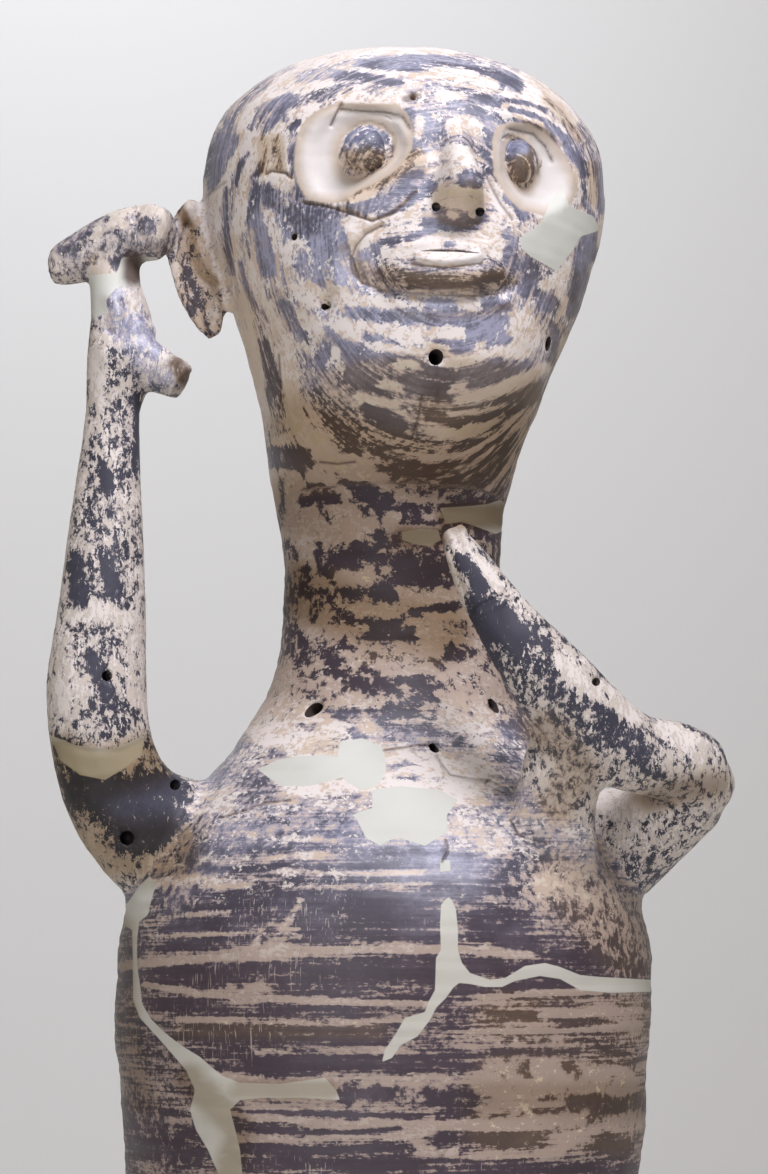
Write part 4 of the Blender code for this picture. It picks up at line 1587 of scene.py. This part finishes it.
# %% [markdown]
# ## From noises to flakes
# Real flakes are ragged but sharp. So a few noises are summed and the amount of slip left is added.
# There is slip where the sum is above a half, and a white crust of lime where it falls short. The
# steps between are narrow, and crisper for the crust than for the slip.
# %% Where paint, white scraps and bare clay lie
CRISP_SPREAD, SOFT_SPREAD = 0.04, 0.042  # how far these two sums stray from a half
CRISP = (("scraps", 0.45), ("crumbs", 0.4), ("grain", 0.15))
SOFT = (("swathes", 0.4), ("bristles", 0.25), ("crumbs", 0.35))
sums = []
for shares in (CRISP, SOFT):
    total = 0.0
    for name, share in shares:
        total = add(tree, "Math", MULTIPLY_ADD, {0: noises[name], 1: share, 2: total})
    sums.append(total)
crust, streaks = sums
blots = add(tree, "Math", MULTIPLY_ADD, {0: noises["blots"], 1: 0.7, 2: 0.15})
soft = add(tree, "Mix", {}, {"Factor": left["streaky"], "A": blots, "B": streaks})

thick = add(tree, "Math", {"operation": "SUBTRACT"}, {0: left["cover"], 1: 0.5})
least = add(tree, "Math", {"operation": "MAXIMUM"}, {0: thick, 1: -0.3})
# Less white crust shows where the slip is brown, on undersides in painted shade, below the chest,
# and in the throat's painted shade
for amount, steps in ((least, 4.2), (left["brown_slip_and_underside_shade"], 1.3), (left["darkened"], 1.2)):
    crust = add(tree, "Math", MULTIPLY_ADD, {0: amount, 1: steps * CRISP_SPREAD, 2: crust})
EDGE = 0.5 - 0.3 * CRISP_SPREAD
crust = add(
    tree, "MapRange", SMOOTH,
    {"Value": crust, "From Min": EDGE + 0.004, "From Max": EDGE - 0.004},
)
coat = add(tree, "Math", MULTIPLY_ADD, {0: thick, 1: 4.6 * SOFT_SPREAD, 2: soft})
darkened = add(
    tree, "MapRange", SMOOTH,
    {"Value": coat, "From Min": 0.5 - 0.9 * SOFT_SPREAD, "From Max": 0.5 + 0.1 * SOFT_SPREAD},
)
full = add(
    tree, "MapRange", {},
    {"Value": left["worn_thin_and_sheen"], "To Min": 0.5 + 0.5 * SOFT_SPREAD, "To Max": 0.5 + 1.9 * SOFT_SPREAD},
)
coat = add(
    tree, "MapRange", SMOOTH,
    {"Value": coat, "From Min": 0.5 - 0.05 * SOFT_SPREAD, "From Max": full},
)
# Plaster fills and the white of the eyes lie over it all, and the inside was never painted
filled = add(tree, "MapRange", SMOOTH, {"Value": left["fill"], "From Min": -0.6, "From Max": 0.6})
rubbed = add(tree, "Math", MULTIPLY_ADD, {0: noises["crumbs"], 1: 5.0, 2: left["white"]})
whitened = add(tree, "MapRange", SMOOTH, {"Value": rubbed, "From Min": 1.0, "From Max": 4.0})
print("the flakes are made with", len(tree.nodes), "nodes")

# %% [markdown]
# ## Colours
# The slip is purple-black where it is thick and violet grey where a wash is left, and the light
# lavender of the wash and of the worn film is partly a painted sheen. Below the chest every layer
# grows darker towards the foot, and in the throat the same darkening is painted shade. The
# undersides of the head are brown, partly from the fire and partly as painted shade. So each layer
# has three colours, mixed by the numbers on the points. Then the layers are laid over each other in
# the order in which they came to lie on the clay.
# %% The colour of each layer
SLIP_COLOURS = {  # clean, darkened low down and as painted shade in the throat, and browned by fire and as painted shade
    "lime": ("#e2dad5", "#a7988f", "#c6b598"),
    "wash": ("#999db6", "#635868", "#937b64"),
    "dark": ("#363a4c", "#2e2634", "#4a3b32"),
    "thin": ("#a2a6be", "#51465a", "#7d6752"),
}
layers = {}
for name, (clean, *changed) in SLIP_COLOURS.items():
    tone = linear(clean)
    for share, other in zip((left["darkened"], left["brown_slip_and_underside_shade"]), changed):
        tone = add(tree, "Mix", MIX, {"Factor": share, "A": tone, "B": linear(other)})
    layers[name] = tone
lime, wash, dark, thin = layers.values()
dark = add(tree, "Mix", MIX, {"Factor": left["limb"], "A": dark, "B": linear("#262837")})

clay = linear("#c2ab94")
# The clay and the plaster are darkened below the chest, and as painted shade in the throat
for share, other in (
    (noises["patches"], "#d5c2ae"), (left["darkened"], "#a08e80"), (left["limb"], "#c4b8ab"),
):
    clay = add(tree, "Mix", MIX, {"Factor": share, "A": clay, "B": linear(other)})
plaster = linear("#bfbeb1")
for share, other in ((noises["patches"], "#cfcfc5"), (left["darkened"], "#bab6a9")):
    plaster = add(tree, "Mix", MIX, {"Factor": share, "A": plaster, "B": linear(other)})
# Painted shade: the white of the eyes turns tan towards the edge of each dish
socket_edge_shade = add(tree, "MapRange", {}, {"Value": rubbed, "From Min": 3.0, "From Max": 15.0})
eye_white = add(
    tree, "Mix", MIX, {"Factor": socket_edge_shade, "A": linear("#b9a793"), "B": linear("#cec7c0")}
)
print("colours of", ", ".join(SLIP_COLOURS) + ", clay, plaster and the white of the eyes")

# %% Lay the layers over each other
# Rubbing has worn the thick slip down to a thin film, most along the brush; its light lavender is
# also a painted sheen where the light falls on the slip
sheen_and_wear = add(
    tree, "MapRange", SMOOTH,
    {"Value": soft, "From Min": 0.5 + 2.2 * SOFT_SPREAD, "From Max": 0.5 - 1.0 * SOFT_SPREAD,
     "To Min": 0.25},
)
sheen_and_wear = add(tree, "Math", MULTIPLY, {0: sheen_and_wear, 1: left["worn_thin_and_sheen"]})
uneven_wear = add(
    tree, "MapRange", SMOOTH,
    {"Value": noises["patches"], "From Min": 0.4, "From Max": 0.56, "To Min": 0.2, "To Max": 1.15},
)
sheen_and_wear = add(
    tree, "Math", {"operation": "MULTIPLY", "use_clamp": True}, {0: sheen_and_wear, 1: uneven_wear}
)
dark = add(tree, "Mix", MIX, {"Factor": sheen_and_wear, "A": dark, "B": thin})

# The lavender wash shows in step with the same number, so its light tone is partly a painted sheen
share = add(tree, "MapRange", {}, {"Value": left["worn_thin_and_sheen"], "To Min": 0.15, "To Max": 1.0})
washed = add(tree, "Math", MULTIPLY, {0: darkened, 1: share})
coated = add(tree, "Math", MULTIPLY, {0: coat, 1: 0.95})
scratched = add(
    tree, "Math", MULTIPLY_ADD, {0: left["scuffed"], 1: 0.12, 2: noises["scratches"]}
)
scratched = add(
    tree, "MapRange", SMOOTH,
    {"Value": scratched, "From Min": 0.7, "From Max": 0.8, "To Max": 0.6},
)
colour = clay
for share, layer in (
    (washed, wash), (coated, dark), (crust, lime), (scratched, lime), (whitened, eye_white),
    (filled, plaster),
):
    colour = add(tree, "Mix", MIX, {"Factor": share, "A": colour, "B": layer})
# Soil dulls the colour, and the same mix is painted shade on the neck under the chin, the elbows,
# the groove behind the ear and the belly's left edge. The dark brown below is dirt, and painted
# shade in the creases and hollows.
dulled_and_shaded = add(
    tree, "Mix", {"data_type": "RGBA", "blend_type": "MULTIPLY"},
    {"Factor": 1.0, "A": colour, "B": linear("#baab92")},
)
for share, layer in (
    (left["soil"], dulled_and_shaded), (left["dirt"], linear("#4b372f")), (left["within"], linear("#a08770")),
):
    colour = add(tree, "Mix", MIX, {"Factor": share, "A": colour, "B": layer})
tree.links.new(colour, shader.inputs["Base Color"])
print("the painted clay has", len(tree.nodes), "nodes")

# %% [markdown]
# ## Shine and fine relief
# The burnished slip and the bare clay have a soft shine, and lime, plaster, the whites and the
# inside are rougher. Relief below half a millimetre is too small for the mesh, so bump gives it:
# chalky scraps a tenth of a millimetre thick, the grain of the clay, and the marks of the bristles.
# %% Shine and fine relief
chalky = crust
for other in (filled, left["within"], whitened):
    chalky = add(tree, "Math", {"operation": "MAXIMUM"}, {0: chalky, 1: other})
shine = add(tree, "MapRange", {}, {"Value": chalky, "To Min": 0.46, "To Max": 0.8})
tree.links.new(shine, shader.inputs["Roughness"])
gleam = add(tree, "MapRange", {}, {"Value": left["worn_thin_and_sheen"], "To Min": 0.18, "To Max": 0.9})
tree.links.new(gleam, shader.inputs["Specular IOR Level"])
relief = 0.0
for rise, field in ((0.1, chalky), (0.08, noises["grain"]), (0.06, noises["bristles"])):  # mm
    relief = add(tree, "Math", MULTIPLY_ADD, {0: field, 1: rise, 2: relief})
bump = add(tree, "Bump", {}, {"Height": relief, "Distance": MM, "Strength": 0.6})
tree.links.new(bump, shader.inputs["Normal"])
print("roughness and relief are set for", slip.name)

# %% [markdown]
# ## Painted shade in the holes
# The walls inside the vents and nostrils get a near-black colour, as painted shade for the dark
# inside of a hole. It is rough and carries no slip. A second material gives it, on the faces inside
# the holes.
# %% Painted shade inside the holes
GRIT = 1.5 * MM
hole_shade, hole_shade_tree, hole_shade_shader = new_material("hole_walls_painted_shade")
hole_shade_metres = add(hole_shade_tree, "TexCoord", {}, {}, "Object")
grit = add(
    hole_shade_tree, "TexNoise", {},
    {"Vector": hole_shade_metres, "Scale": 1 / GRIT, "Detail": 3.0, "Roughness": 0.6},
)
hole_shade_tone = add(
    hole_shade_tree, "Mix", MIX, {"Factor": grit, "A": linear("#1d1613"), "B": linear("#3a2c24")}
)
hole_shade_tree.links.new(hole_shade_tone, hole_shade_shader.inputs["Base Color"])
hole_shade_shader.inputs["Roughness"].default_value = 0.9
which = np.empty(len(figure.data.polygons), int)
figure.data.polygons.foreach_get("material_index", which)
figure.data.materials.clear()
figure.data.materials.append(slip)
figure.data.materials.append(hole_shade)
figure.data.polygons.foreach_set("material_index", which)
figure.data.shade_smooth()
print("materials on the figure:", ", ".join(figure.data.materials.keys()))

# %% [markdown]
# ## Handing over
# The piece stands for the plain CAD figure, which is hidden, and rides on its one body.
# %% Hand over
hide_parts("figure")
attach(figure, "root")
print("handing over", figure.name, "with", len(figure.data.polygons), "faces")
